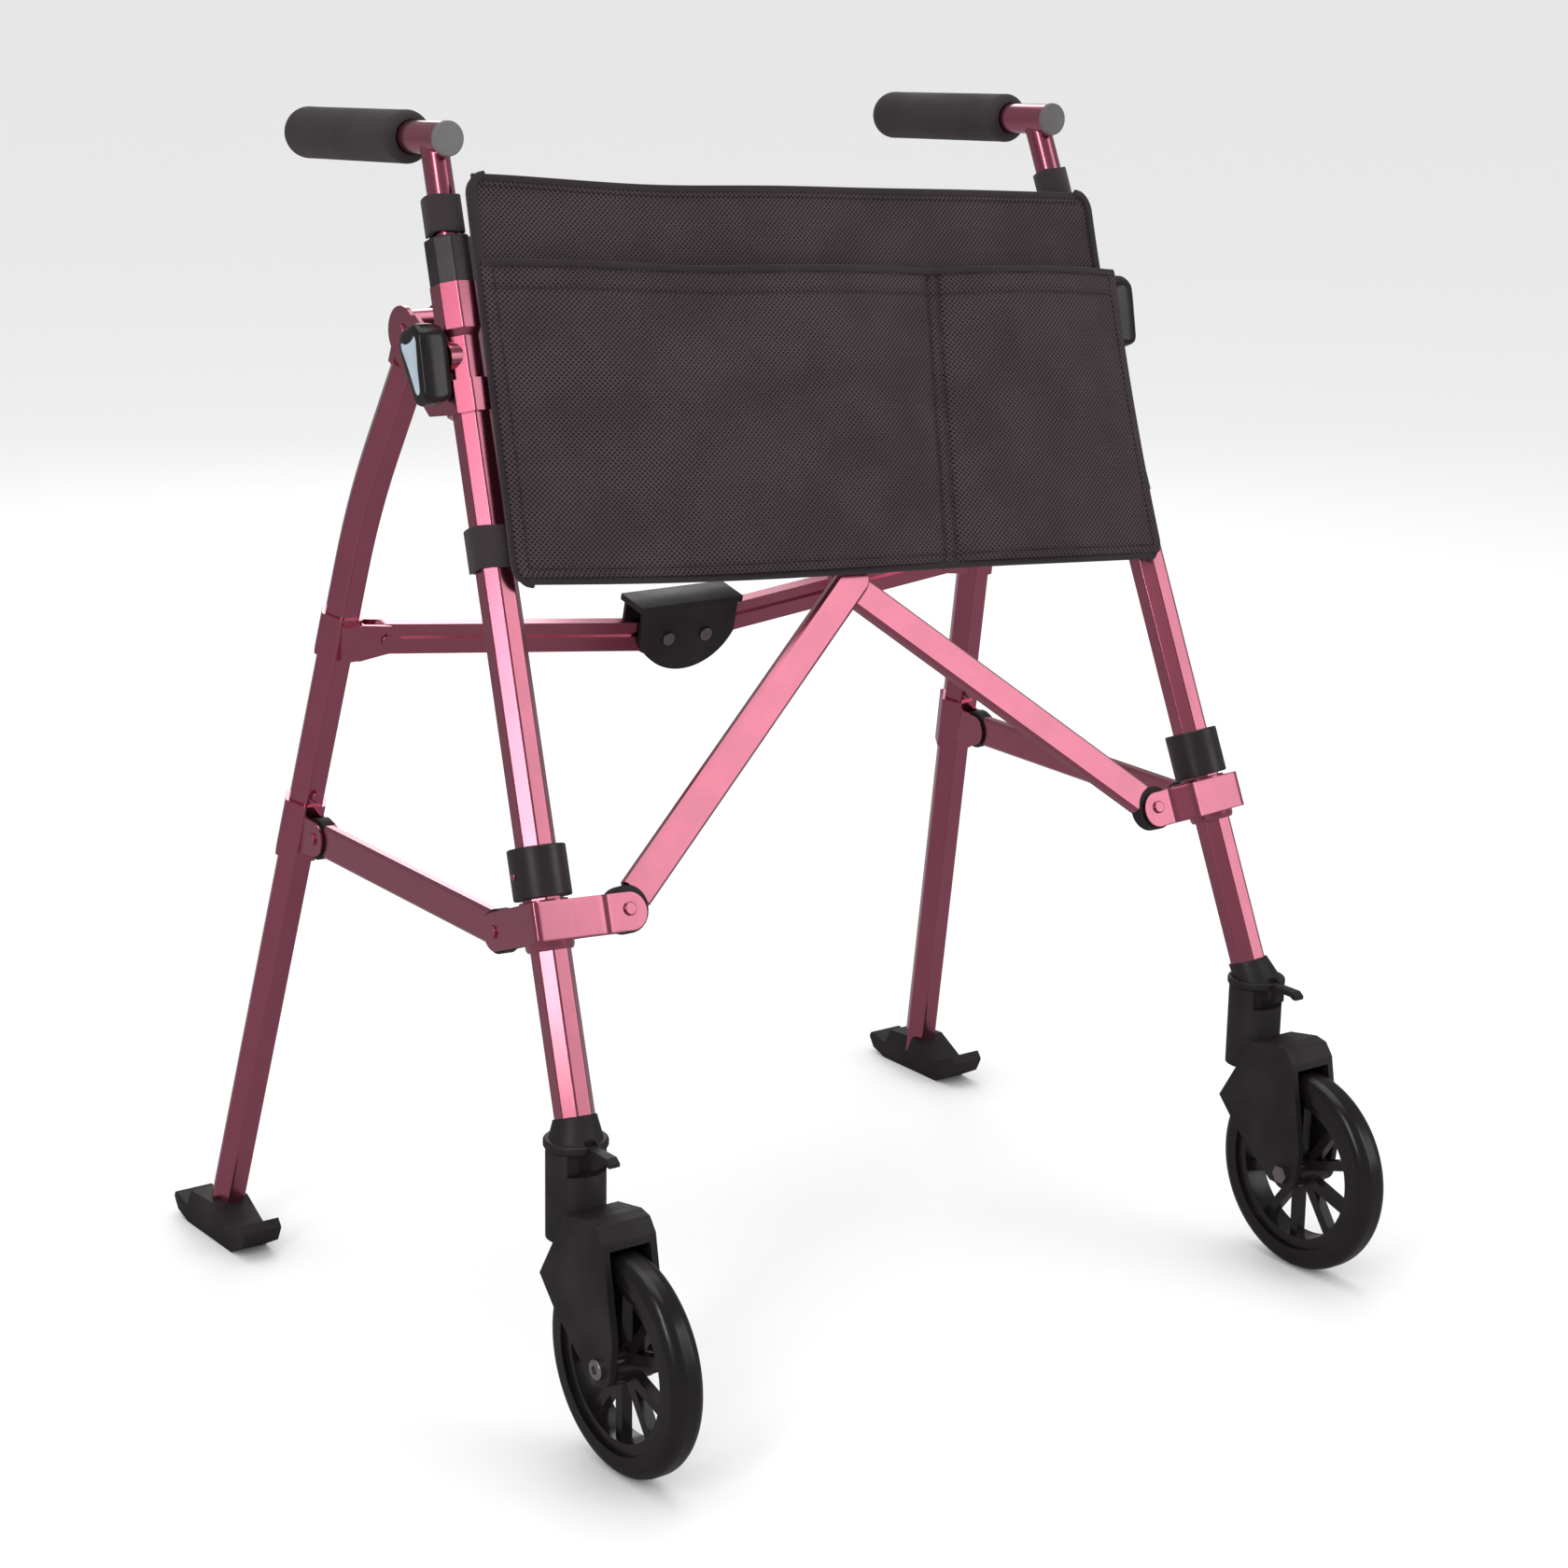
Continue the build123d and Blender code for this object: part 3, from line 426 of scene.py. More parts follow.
@dataclass(frozen=True)
class Anodised(Finish):
    """Dyed anodised aluminium: tinted metal under a clear oxide, with drawn streaks along the tube."""

    colour: tuple = (0.58, 0.088, 0.180, 1.0)
    shade: tuple = (0.47, 0.066, 0.140, 1.0)
    metallic: float = 1.0
    rough: float = 0.25
    rough_spread: float = 0.03
    coat: float = 1.0
    coat_ior: float = 2.0
    coat_rough: float = 0.16
    bump: float = 0.012
    bump_depth: float = 0.0001

    def make(self, name: str, effects: Effects, axis: np.ndarray) -> bpy.types.Material:
        """Material whose streaks run along one direction.

        Args:
            name: material name.
            effects: the shared node groups.
            axis: direction of the streaks.

        Returns:
            The material.
        """
        mat, tree, shader = self.start(name)
        coords = tree.add("ShaderNodeTexCoord")
        turn = Vector(axis.tolist()).rotation_difference(Vector((0, 0, 1))).to_euler()
        turned = tree.add("ShaderNodeMapping", {"Vector": coords.outputs["Object"], "Rotation": turn})
        drawn = tree.add("ShaderNodeGroup", node_tree=effects.drawn)
        tree.link(turned.outputs[0], drawn.inputs[0])
        tone = tree.math("MULTIPLY", drawn.outputs[1], 0.3)
        colour = tree.blend(tone, self.colour, self.shade)
        tree.link(colour, shader.inputs["Base Color"])
        both = tree.math("ADD", drawn.outputs[0], drawn.outputs[1])
        spread = tree.math("MULTIPLY", both, self.rough_spread)
        rough = tree.math("ADD", spread, self.rough - self.rough_spread)
        tree.link(rough, shader.inputs["Roughness"])
        self.bump_from(tree, shader, drawn.outputs[0])
        return mat


@dataclass(frozen=True)
class Moulded(Finish):
    """Moulded plastic, foam or rubber: fine grain over a slow change of tone."""

    def make(self, name: str, effects: Effects) -> bpy.types.Material:
        """Material on Object coordinates.

        Args:
            name: material name.
            effects: the shared node groups.

        Returns:
            The material.
        """
        mat, tree, shader = self.start(name)
        coords = tree.add("ShaderNodeTexCoord")
        grain = tree.add("ShaderNodeGroup", {"Vector": coords.outputs["Object"], "Scale": self.scale},
                         node_tree=effects.grain)
        tree.link(tree.blend(grain.outputs[1], self.shade, self.colour), shader.inputs["Base Color"])
        rough = tree.ramp(grain.outputs[1], 0.0, 1.0, self.rough + self.rough_spread,
                          self.rough - self.rough_spread, smooth=False)
        tree.link(rough, shader.inputs["Roughness"])
        self.bump_from(tree, shader, grain.outputs[0])
        return mat


@dataclass(frozen=True)
class Fabric(Finish):
    """Cloth on the piece's own map in metres: a staggered lattice of holes between raised threads, with
    painted shade in the holes.
    """

    # painted shade: the dark seen inside the holes and between the threads, painted as a colour
    painted_hole_shade: tuple = (0.012, 0.006, 0.009, 1.0)
    pitch: float = 0.0038
    rise: float = 0.0036

    def make(self, name: str, effects: Effects) -> bpy.types.Material:
        """Material on the map coordinates.

        Args:
            name: material name.
            effects: the shared node groups.

        Returns:
            The material.
        """
        mat, tree, shader = self.start(name)
        coords = tree.add("ShaderNodeTexCoord")
        lattice = tree.add("ShaderNodeGroup", {"Vector": coords.outputs["UV"], "Pitch": self.pitch,
                                               "Rise": self.rise}, node_tree=effects.weave)
        grain = tree.add("ShaderNodeGroup", {"Vector": coords.outputs["Object"], "Scale": 2500.0},
                         node_tree=effects.grain)
        thread = tree.blend(grain.outputs[1], self.shade, self.colour)
        fuzz = tree.math("MULTIPLY", grain.outputs[0], 0.35)
        thread = tree.blend(fuzz, thread, self.painted_hole_shade)
        # the holes take the painted shade colour
        tree.link(tree.blend(lattice.outputs[0], thread, self.painted_hole_shade), shader.inputs["Base Color"])
        tree.link(tree.ramp(lattice.outputs[0], 0, 1, self.rough, 1.0, smooth=False),
                            shader.inputs["Roughness"])
        height = tree.math("SUBTRACT", tree.math("MULTIPLY", grain.outputs[0], 0.15), lattice.outputs[0])
        self.bump_from(tree, shader, height)
        return mat


class Palette:
    """Every material of the object, made once."""

    def __init__(self) -> None:
        """Build the shared effects and the finishes."""
        self.effects = Effects()
        fx = self.effects
        black, soot = (0.0135, 0.0100, 0.0115, 1), (0.0095, 0.0070, 0.0082, 1)
        self.plastic = Moulded(black, soot, rough=0.5, bump=0.25,
                               bump_depth=0.0004).make("black_moulding", fx)
        self.textured = Moulded((0.0165, 0.0125, 0.0142, 1), soot, rough=0.55, bump=0.5, bump_depth=0.0006,
                                scale=520.0).make("coarse_black_moulding", fx)
        self.gloss = Moulded(black, (0.0075, 0.0062, 0.0075, 1), rough=0.22, rough_spread=0.04, bump=0.05,
                             scale=300.0).make("gloss_black_moulding", fx)
        self.collar = Moulded((0.022, 0.0155, 0.0175, 1), (0.016, 0.0112, 0.0128, 1), rough=0.34, bump=0.1,
                              scale=700.0).make("collar_black", fx)
        self.grey = Moulded((0.145, 0.140, 0.142, 1), (0.11, 0.105, 0.107, 1), rough=0.55, bump=0.2,
                            scale=600.0).make("grey_cap", fx)
        self.foam = Moulded((0.033, 0.024, 0.027, 1), (0.025, 0.018, 0.020, 1), rough=0.80,
                            rough_spread=0.05, bump=0.5, bump_depth=0.0005, scale=900.0,
                            sheen=0.05).make("grip_foam", fx)
        self.tyre = Moulded((0.0085, 0.0065, 0.0075, 1), (0.0055, 0.0045, 0.0052, 1), rough=0.26,
                            rough_spread=0.08, bump=0.06, bump_depth=0.0004,
                            scale=240.0).make("tyre_rubber", fx)
        self.steel = Moulded((0.50, 0.47, 0.48, 1), (0.33, 0.30, 0.31, 1), metallic=1.0, rough=0.28,
                             bump=0.1, scale=500.0).make("plated_steel", fx)
        self.dark_steel = Moulded((0.44, 0.40, 0.41, 1), (0.28, 0.25, 0.26, 1), metallic=1.0, rough=0.3,
                                  bump=0.1, scale=500.0).make("dark_steel", fx)
        self.inlay = Moulded((0.50, 0.60, 0.66, 1), (0.30, 0.38, 0.43, 1), rough=0.45, bump=0.4,
                             bump_depth=0.0005, scale=900.0).make("inlay_speckle", fx)
        # the hole colours of the fabrics below are painted shade in their holes and weave gaps
        self.mesh = Fabric((0.074, 0.046, 0.058, 1), (0.054, 0.033, 0.042, 1), rough=0.8, bump=0.9,
                           bump_depth=0.0011, sheen=0.03,
                           painted_hole_shade=(0.0065, 0.003, 0.0042, 1)).make("spacer_mesh", fx)
        self.tape = Fabric((0.030, 0.019, 0.024, 1), (0.021, 0.0135, 0.017, 1), rough=0.82, bump=0.5,
                           bump_depth=0.0003, pitch=0.0011, rise=0.0009, painted_hole_shade=(0.016, 0.010, 0.013, 1),
                           sheen=0.08).make("binding_tape", fx)
        self.webbing = Fabric((0.044, 0.031, 0.035, 1), (0.032, 0.022, 0.026, 1), rough=0.85, bump=0.6,
                              bump_depth=0.0004, pitch=0.0016, rise=0.0012, painted_hole_shade=(0.018, 0.012, 0.0145, 1),
                              sheen=0.12).make("strap_webbing", fx)
        self.thread = Moulded((0.020, 0.013, 0.016, 1), (0.014, 0.009, 0.011, 1), rough=0.7, bump=0.3,
                              scale=2500.0).make("sewing_thread", fx)
        self._drawn: dict = {}

    def aluminium(self, name: str, axis: np.ndarray) -> bpy.types.Material:
        """Anodised aluminium, made once per name.

        Args:
            name: node that wears it.
            axis: direction of its streaks.

        Returns:
            The material.
        """
        if name not in self._drawn:
            self._drawn[name] = Anodised().make(f"anodised_{name}", self.effects, axis)
        return self._drawn[name]


def dress(obj: bpy.types.Object, material: bpy.types.Material) -> None:
    """Give every slot of an object one material."""
    if not obj.material_slots:
        obj.data.materials.append(material)
    for item in obj.material_slots:
        item.material = material


def settle(obj: bpy.types.Object, material: bpy.types.Material, body: str) -> bpy.types.Object:
    """Dress a new piece and let it ride on its body.

    Args:
        obj: the piece.
        material: its material.
        body: the body it moves with.

    Returns:
        The piece.
    """
    dress(obj, material)
    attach(obj, body)
    LOG.info("piece %s on %s", obj.name, body)
    return obj


# ---------------------------------------------------------------- sub-assemblies
@dataclass
class Tubework:
    """Carried-over CAD nodes and their finishes."""

    palette: Palette

    def dress_all(self) -> None:
        """Give every CAD node its procedural material."""
        p, nodes = self.palette, frame["nodes"]
        for side in Side:
            flip = np.array([side.sign, 1.0, 1.0])
            s = side.value
            leg, rear = LEG * flip, REAR * flip
            brace = np.array([0.238, 0.0712, 0.184]) * flip
            cross = np.array([0.244, 0.0066, -0.028]) * flip
            metal = {"front_leg": leg, "handle": leg, "top_bracket": leg, "rear_leg": rear,
                     "rear_bracket": rear, "cross_clamp": rear, "sliding_bracket": leg, "brace_bar": brace,
                     "side_bar": np.array([0.0, 1.0, 0.014]), "cross_half": cross, "leg_rivets": leg,
                     "bracket_rivets": leg, "rear_rivets": leg}
            for node, axis in metal.items():
                dress(nodes[f"{s}_{node}"], p.aluminium(f"{s}_{node}", axis))
            plain = {"guide_bushing": p.collar, "brace_end": p.plastic, "side_bar_ends": p.plastic,
                     "leg_collar": p.collar, "castor_head": p.plastic, "castor_fork": p.textured,
                     "lock_lever": p.plastic, "glide_foot": p.plastic, "height_knob": p.gloss,
                     "wheel_rim": p.gloss, "grip_cap": p.grey, "grip": p.foam, "tyre": p.tyre,
                     "axle_bolt": p.steel, "bag_straps": p.webbing}
            for node, material in plain.items():
                dress(nodes[f"{s}_{node}"], material)
            for node in ("castor_fork", "castor_head", "glide_foot"):
                soften(nodes[f"{s}_{node}"], 0.0009)
        for node, material in {"apex_pin": p.steel, "latch_hub": p.textured, "hub_rivets": p.dark_steel,
                               "bag": p.mesh}.items():
            dress(nodes[node], material)
        soften(nodes["latch_hub"], 0.0009)


@dataclass
class FoamGrip:
    """Foam grip: a revolved sleeve, domed at the far end and rolled in at the near end."""

    palette: Palette
    side: Side
    radius: float = 0.018
    tube: float = 0.0113
    near: float = 0.047
    far: float = 0.204
    lip: float = 0.0062
    dome: float = 0.0145
    tip: float = 0.0035

    def build(self) -> bpy.types.Object:
        """Profile: rolled near lip, straight sleeve, rounded far end; returns the grip."""
        axis = np.array([0.0, 0.99905, -0.04362])
        origin = self.side.place(np.array([-0.261, 0.044, 0.8308]))
        turn = np.linspace(0, np.pi / 2, 12)
        bore = np.array([[self.near + 0.0015, self.tube], [self.near, self.tube + 0.0008]])
        roll = np.stack([self.near + self.lip - self.lip * np.cos(turn),
                         self.radius - self.lip + self.lip * np.sin(turn)], 1)
        along = np.linspace(self.near + self.lip, self.far - self.dome, 24)[1:-1]
        sleeve = np.stack([along, np.full_like(along, self.radius - 0.0001)], 1)
        end = np.stack([self.far - self.dome + 0.0144 * np.sin(turn),
                        self.tip + (self.radius - self.tip) * np.cos(turn) ** 0.8], 1)
        profile = np.vstack([bore, roll, sleeve, end, [[self.far, 0.0008]]])
        grip = revolve(f"{self.side.value}_foam_grip", profile, origin, axis, 64, sharp=60)
        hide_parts(f"{self.side.value}_grip")
        return settle(grip, self.palette.foam, f"{self.side.value}_handle")


@dataclass
class SlidingBracket:
    """Double-ear bracket: two sheets bent round the leg, each with a round brace ear and side ear."""

    palette: Palette
    side: Side
    down: float = 0.526
    height: float = 0.013
    gauge: float = 0.0022
    lap: float = 0.0184
    ear_end: float = 0.067
    side_end: float = 0.0503

    @property
    def outer_path(self) -> list:
        """Front sheet, from the brace ear round the leg's front to the outer side ear (inward, back)."""
        ear, first, second = (-0.016, 0.037, 0.0335) if self.side is Side.LEFT else (-0.005, 0.040, 0.0275)
        bend = -0.0178
        return [(self.ear_end, ear), (first, ear), (second, bend), (-self.lap, bend),
                (-self.lap, self.side_end)]

    @property
    def inner_path(self) -> list:
        """Back sheet, from the brace ear round the leg's rear to the inner side ear."""
        ear, bend, inner = -0.003 if self.side is Side.LEFT else 0.008, 0.0178, -0.0055
        return [(self.ear_end, ear), (0.0225, ear), (bend, ear + 0.005), (bend, bend), (inner, bend),
                (inner, self.side_end)]

    def _sheet(self, name: str, corners: list, reach: float) -> bpy.types.Object:
        """Ribbon: path point + leg direction x half height, narrowed to a half disc at both ends.

        Args:
            name: piece name.
            corners: corners of the bent sheet seen along the leg.
            reach: how widely the bends are rounded.

        Returns:
            The sheet.
        """
        path = smooth_path(corners, 0.0009, reach)
        run = np.concatenate([[0.0], np.cumsum(np.linalg.norm(np.diff(path, axis=0), axis=1))])
        edge = np.minimum(np.minimum(run, run[-1] - run) + 0.00012, self.height)
        half = np.sqrt(self.height ** 2 - (self.height - edge) ** 2)
        v = np.linspace(-1, 1, 17)
        t = self.down - half[:, None] * v[None, :]
        points = leg_points(t, path[:, 0][:, None], path[:, 1][:, None])
        uv = np.stack([np.broadcast_to(run[:, None], t.shape), t], axis=-1)
        left = self.side is Side.LEFT
        sheet = grid_mesh(f"{self.side.value}_{name}", self.side.place(points), flip=left, uv=uv)
        solidify(sheet, self.gauge)
        bevel(sheet, 0.0004)
        return sheet

    def build(self) -> None:
        """Both sheets and the sleeve between them."""
        s = self.side
        metal = self.palette.aluminium(f"{s.value}_sliding_bracket", s.place(LEG))
        outer = self._sheet("bracket_front_sheet", self.outer_path, 0.007)
        inner = self._sheet("bracket_back_sheet", self.inner_path, 0.008)
        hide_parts(f"{s.value}_sliding_bracket")
        for sheet in (outer, inner):
            settle(sheet, metal, f"{s.value}_slider")
        lip = np.array([[-0.0145, 0.0133], [-0.0145, 0.0163], [0.0158, 0.0163], [0.0185, 0.0152],
                        [0.0185, 0.0133]])
        middle = s.place(LEG_TOP - LEG * self.down)
        sleeve = revolve(f"{s.value}_bracket_sleeve", lip, middle, s.place(-LEG), closed=True, sharp=35)
        bevel(sleeve, 0.0005)
        settle(sleeve, metal, f"{s.value}_slider")


@dataclass
class HeightKnob:
    """Clamping knob: a tapered shield outline carried outwards, with a speckled inlay on its face."""

    palette: Palette
    side: Side
    centre: np.ndarray = field(default_factory=lambda: np.array([-0.26976, 0.00857, 0.69194]))

    def _place(self, out: np.ndarray, back: np.ndarray, rise: np.ndarray) -> np.ndarray:
        """Points in knob coordinates.

        Args:
            out: distance outwards from the leg's axis.
            back: distance back across the leg.
            rise: distance up along the leg.

        Returns:
            Array of points.
        """
        out, back, rise = np.broadcast_arrays(out, back, rise)
        pts = self.centre - out[..., None] * ACROSS - back[..., None] * FRONT + rise[..., None] * UP
        return self.side.place(pts)

    def build(self) -> None:
        """Body and inlay."""
        s = self.side.value
        outline = smooth_path([(-0.008, -0.033), (0.008, -0.033), (0.0145, 0.004), (0.016, 0.016),
                               (0.0085, 0.0248), (-0.0085, 0.0248), (-0.016, 0.016), (-0.0145, 0.004)],
                              0.0012, 0.0125, closed=True)
        outline = outline * np.array([0.985, 0.93])
        steps = np.array([(0.0188, 0.60), (0.0188, 0.86), (0.0198, 0.92), (0.0244, 0.97), (0.0306, 1.0),
                          (0.0358, 0.99), (0.0382, 0.955), (0.0395, 0.90), (0.0400, 0.83), (0.0400, 0.5)])
        mid = np.array([0.0, -0.001])
        ring = mid + steps[:, 1][:, None, None] * (outline - mid)
        points = self._place(steps[:, 0][:, None], ring[..., 0], ring[..., 1])
        body = grid_mesh(f"{s}_knob_body", points, ring=True, caps=True, flip=self.side is Side.LEFT,
                         sharp=50)
        bevel(body, 0.0006)
        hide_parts(f"{s}_height_knob")
        settle(body, self.palette.gloss, f"{s}_knob")
        u, w = np.meshgrid(np.linspace(-1, 1, 21), np.linspace(0, 1, 40), indexing="ij")
        top = 0.0138 - 0.0027 * (1 - u ** 2)
        rise = top + (-0.0232 - top) * w
        half = np.interp(rise, [-0.0232, -0.0208, -0.016, -0.0053, 0.0035, 0.0102, 0.0138],
                         [0.0011, 0.0027, 0.0036, 0.0056, 0.0080, 0.0098, 0.0089])
        plate = grid_mesh(f"{s}_knob_inlay", self._place(np.full_like(u, 0.04005), u * half, rise),
                          flip=self.side is Side.RIGHT)
        solidify(plate, 0.0007)
        settle(plate, self.palette.inlay, f"{s}_knob")


@dataclass
class MeshBag:
    """Bag between the front legs: back panel, pocket panel, binding tape, seams and stitches."""

    palette: Palette
    back: float = 0.0185
    width: float = 0.546
    height: float = 0.277
    cloth: float = 0.0022
    corner: float = 0.014
    pocket_drop: float = 0.061
    flare: float = 0.0145
    bulge: float = 0.014
    seam_gap: float = 0.009
    stitch_step: float = 0.0042
    stitch_half: float = 0.0014
    stitch_radius: float = 0.00045
    pieces: list = field(default_factory=list)

    def edges(self, w: np.ndarray) -> tuple:
        """Left and right edge of the panel at depth w: slanted or slightly hollow lines, round at the ends.

        Args:
            w: down, 0 at the top and 1 at the bottom.

        Returns:
            Two arrays of distances across.
        """
        left = -0.2555 - 0.0235 * w
        right = 0.279 - 0.002 * w - 0.024 * w * (1 - w)
        near = np.clip(1 - np.minimum(w, 1 - w) * self.height / self.corner, 0, 1)
        round_off = 0.011 * (1 - np.sqrt(1 - near ** 2))
        return left + round_off, right - round_off

    def place(self, u: np.ndarray, w: np.ndarray, out: np.ndarray, flare: float = 0.0) -> np.ndarray:
        """Panel point: u across between the edges, w down the slanted panel, out towards the front.

        Args:
            u: across, 0 at the left edge and 1 at the right edge.
            w: down, 0 at the top and 1 at the bottom.
            out: distance in front of the leg plane.
            flare: how far the right edge of the pocket mouth stands out past the back panel.

        Returns:
            Array of points.
        """
        left, right = self.edges(w)
        right = right + flare * (1.15 - w)
        x = left + (right - left) * u
        top = -0.0475 - 0.0637 * x - 0.0026 * np.sin(np.pi * u) - 0.0032 * np.exp(-((u - 0.26) / 0.17) ** 2)
        bottom = -0.3247 - 0.0687 * x - 0.0030 * np.sin(np.pi * u) - 0.0012 * np.sin(2.2 * np.pi * u)
        v = top + (bottom - top) * w
        return front_points(x, v, out)

    @staticmethod
    def seam_u(w: np.ndarray) -> np.ndarray:
        """Where the upright seam crosses the panel."""
        return 0.690 - 0.052 * w

    def folds(self, u: np.ndarray, w: np.ndarray) -> np.ndarray:
        """Slow waves of slack cloth, fading to nothing at the side edges."""
        hold = np.sin(np.pi * np.clip(u, 0, 1)) ** 0.5
        wave = 0.0016 * np.sin(9 * u + 3.1 * w) + 0.0011 * np.sin(17 * u - 5 * w + 0.6)
        pull = 0.0016 * np.exp(-((u - 0.04 - 0.25 * w) / 0.05) ** 2) * np.exp(-w / 0.25)
        pull += 0.0013 * np.exp(-((u - 0.97 + 0.2 * w) / 0.04) ** 2) * np.exp(-w / 0.3)
        return hold * wave + pull

    def back_out(self, u: np.ndarray, w: np.ndarray) -> np.ndarray:
        """Back panel: flat against the straps, bowing out a little between the legs."""
        bow = 0.0045 * np.sin(np.pi * u) ** 1.2 * (0.5 + 0.5 * np.cos(np.pi * w))
        return self.back + 0.0013 + bow + 0.5 * self.folds(u, w) * (0.3 + 0.7 * (1 - w))

    def pocket_out(self, u: np.ndarray, w: np.ndarray) -> np.ndarray:
        """Pocket panel: sewn down at its sides, bottom and upright seam, bulging between them."""
        seam = self.seam_u(w)
        cell = np.where(u < seam, u / seam, (1 - u) / (1 - seam))
        room = np.where(u < seam, 1.0, 0.8)
        swell = self.bulge * room * np.sin(np.pi * np.clip(cell, 0, 1)) ** 0.75
        depth = (w - self.pocket_drop / self.height) / (1 - self.pocket_drop / self.height)
        depth = np.clip(depth, 0, 1)
        shape = 0.35 + 0.65 * np.sin(np.pi * np.clip(0.12 + 0.88 * depth, 0, 1)) ** 0.8
        close = np.clip((1 - depth) / 0.06, 0, 1) ** 0.5
        return self.back_out(u, w) + 0.0028 + swell * shape * close + self.folds(u, w) * close

    def _panel(self, name: str, u: np.ndarray, w: np.ndarray, out: np.ndarray,
               flare: float = 0.0) -> bpy.types.Object:
        """Sheet over a (u, w) grid with its map in metres.

        Args:
            name: piece name.
            u: across, one value for each grid point.
            w: down, one value for each grid point.
            out: distance in front of the leg plane.
            flare: flare of the right edge.

        Returns:
            The panel.
        """
        uv = np.stack([u * self.width, -w * self.height], axis=-1)
        panel = grid_mesh(name, self.place(u, w, out, flare), uv=uv)
        solidify(panel, self.cloth)
        return panel

    def _tape(self, name: str, u: np.ndarray, w: np.ndarray, out: Callable, width: float,
              lift: float, flare: float = 0.0) -> bpy.types.Object:
        """Binding folded over a panel edge: a flattened loop carried along the edge path.

        Args:
            name: piece name.
            u: edge path across.
            w: edge path down.
            out: function giving the panel's height at (u, w).
            width: half width of the tape over the panel.
            lift: half thickness of the folded tape.
            flare: flare of the panel the tape is sewn to.

        Returns:
            The tape.
        """
        path = self.place(u, w, out(u, w), flare)
        tangent = np.gradient(path, axis=0)
        tangent /= np.linalg.norm(tangent, axis=1)[:, None]
        inward = np.cross(FRONT, tangent)
        inward /= np.linalg.norm(inward, axis=1)[:, None]
        a = np.linspace(0, 2 * np.pi, 20, endpoint=False)
        across = np.sign(np.cos(a)) * np.abs(np.cos(a)) ** 0.6 * width
        rise = np.sign(np.sin(a)) * np.abs(np.sin(a)) ** 0.6 * lift
        points = path[:, None] + across[None, :, None] * inward[:, None] + rise[None, :, None] * FRONT
        run = np.concatenate([[0], np.cumsum(np.linalg.norm(np.diff(path, axis=0), axis=1))])
        uv = np.stack(np.meshgrid(np.linspace(0, 4 * width, 21), run), axis=-1)
        return grid_mesh(name, points, ring=True, caps=True, uv=uv, sharp=50)

    def _stitches(self, name: str, rows: Sequence[tuple]) -> bpy.types.Object:
        """Short raised stitches along each row: small pillows spaced evenly on the path.

        Args:
            name: piece name.
            rows: (u, w, out, flare) of each stitched path.

        Returns:
            One mesh of every stitch.
        """
        bodies = []
        a = np.linspace(0, 2 * np.pi, 6, endpoint=False)
        shape = np.array([(-1.0, 0.25), (-0.6, 0.9), (0.0, 1.0), (0.6, 0.9), (1.0, 0.25)])
        for u, w, out, flare in rows:
            path = self.place(u, w, out, flare)
            run = np.concatenate([[0], np.cumsum(np.linalg.norm(np.diff(path, axis=0), axis=1))])
            s = np.arange(0.003, run[-1] - 0.003, self.stitch_step)
            spots = np.stack([np.interp(s, run, path[:, k]) for k in range(3)], axis=1)
            ahead = np.stack([np.interp(s + 0.001, run, path[:, k]) for k in range(3)], axis=1) - spots
            ahead /= np.linalg.norm(ahead, axis=1)[:, None]
            side = np.cross(FRONT, ahead)
            ring = np.cos(a)[:, None, None] * side[None] + np.sin(a)[:, None, None] * FRONT
            length = shape[:, 0][:, None, None, None] * self.stitch_half
            girth = shape[:, 1][:, None, None, None] * self.stitch_radius
            body = spots[None, None] + length * ahead[None, None] + girth * ring[None]
            bodies.append(np.moveaxis(body, 2, 0))
        points = np.concatenate(bodies)
        count, rows_n, cols = points.shape[:3]
        index = np.arange(rows_n * cols).reshape(rows_n, cols)
        wide = np.hstack([index, index[:, :1]])
        quads = np.stack([wide[:-1, :-1], wide[:-1, 1:], wide[1:, 1:], wide[1:, :-1]], -1).reshape(-1, 4)
        faces = (quads[None] + (np.arange(count) * rows_n * cols)[:, None, None]).reshape(-1, 4)
        mesh = bpy.data.meshes.new(name)
        mesh.from_pydata(points.reshape(-1, 3).tolist(), [], faces.tolist())
        mesh.polygons.foreach_set("use_smooth", np.ones(len(mesh.polygons), dtype=bool))
        mesh.update()
        obj = bpy.data.objects.new(name, mesh)
        bpy.context.scene.collection.objects.link(obj)
        return obj

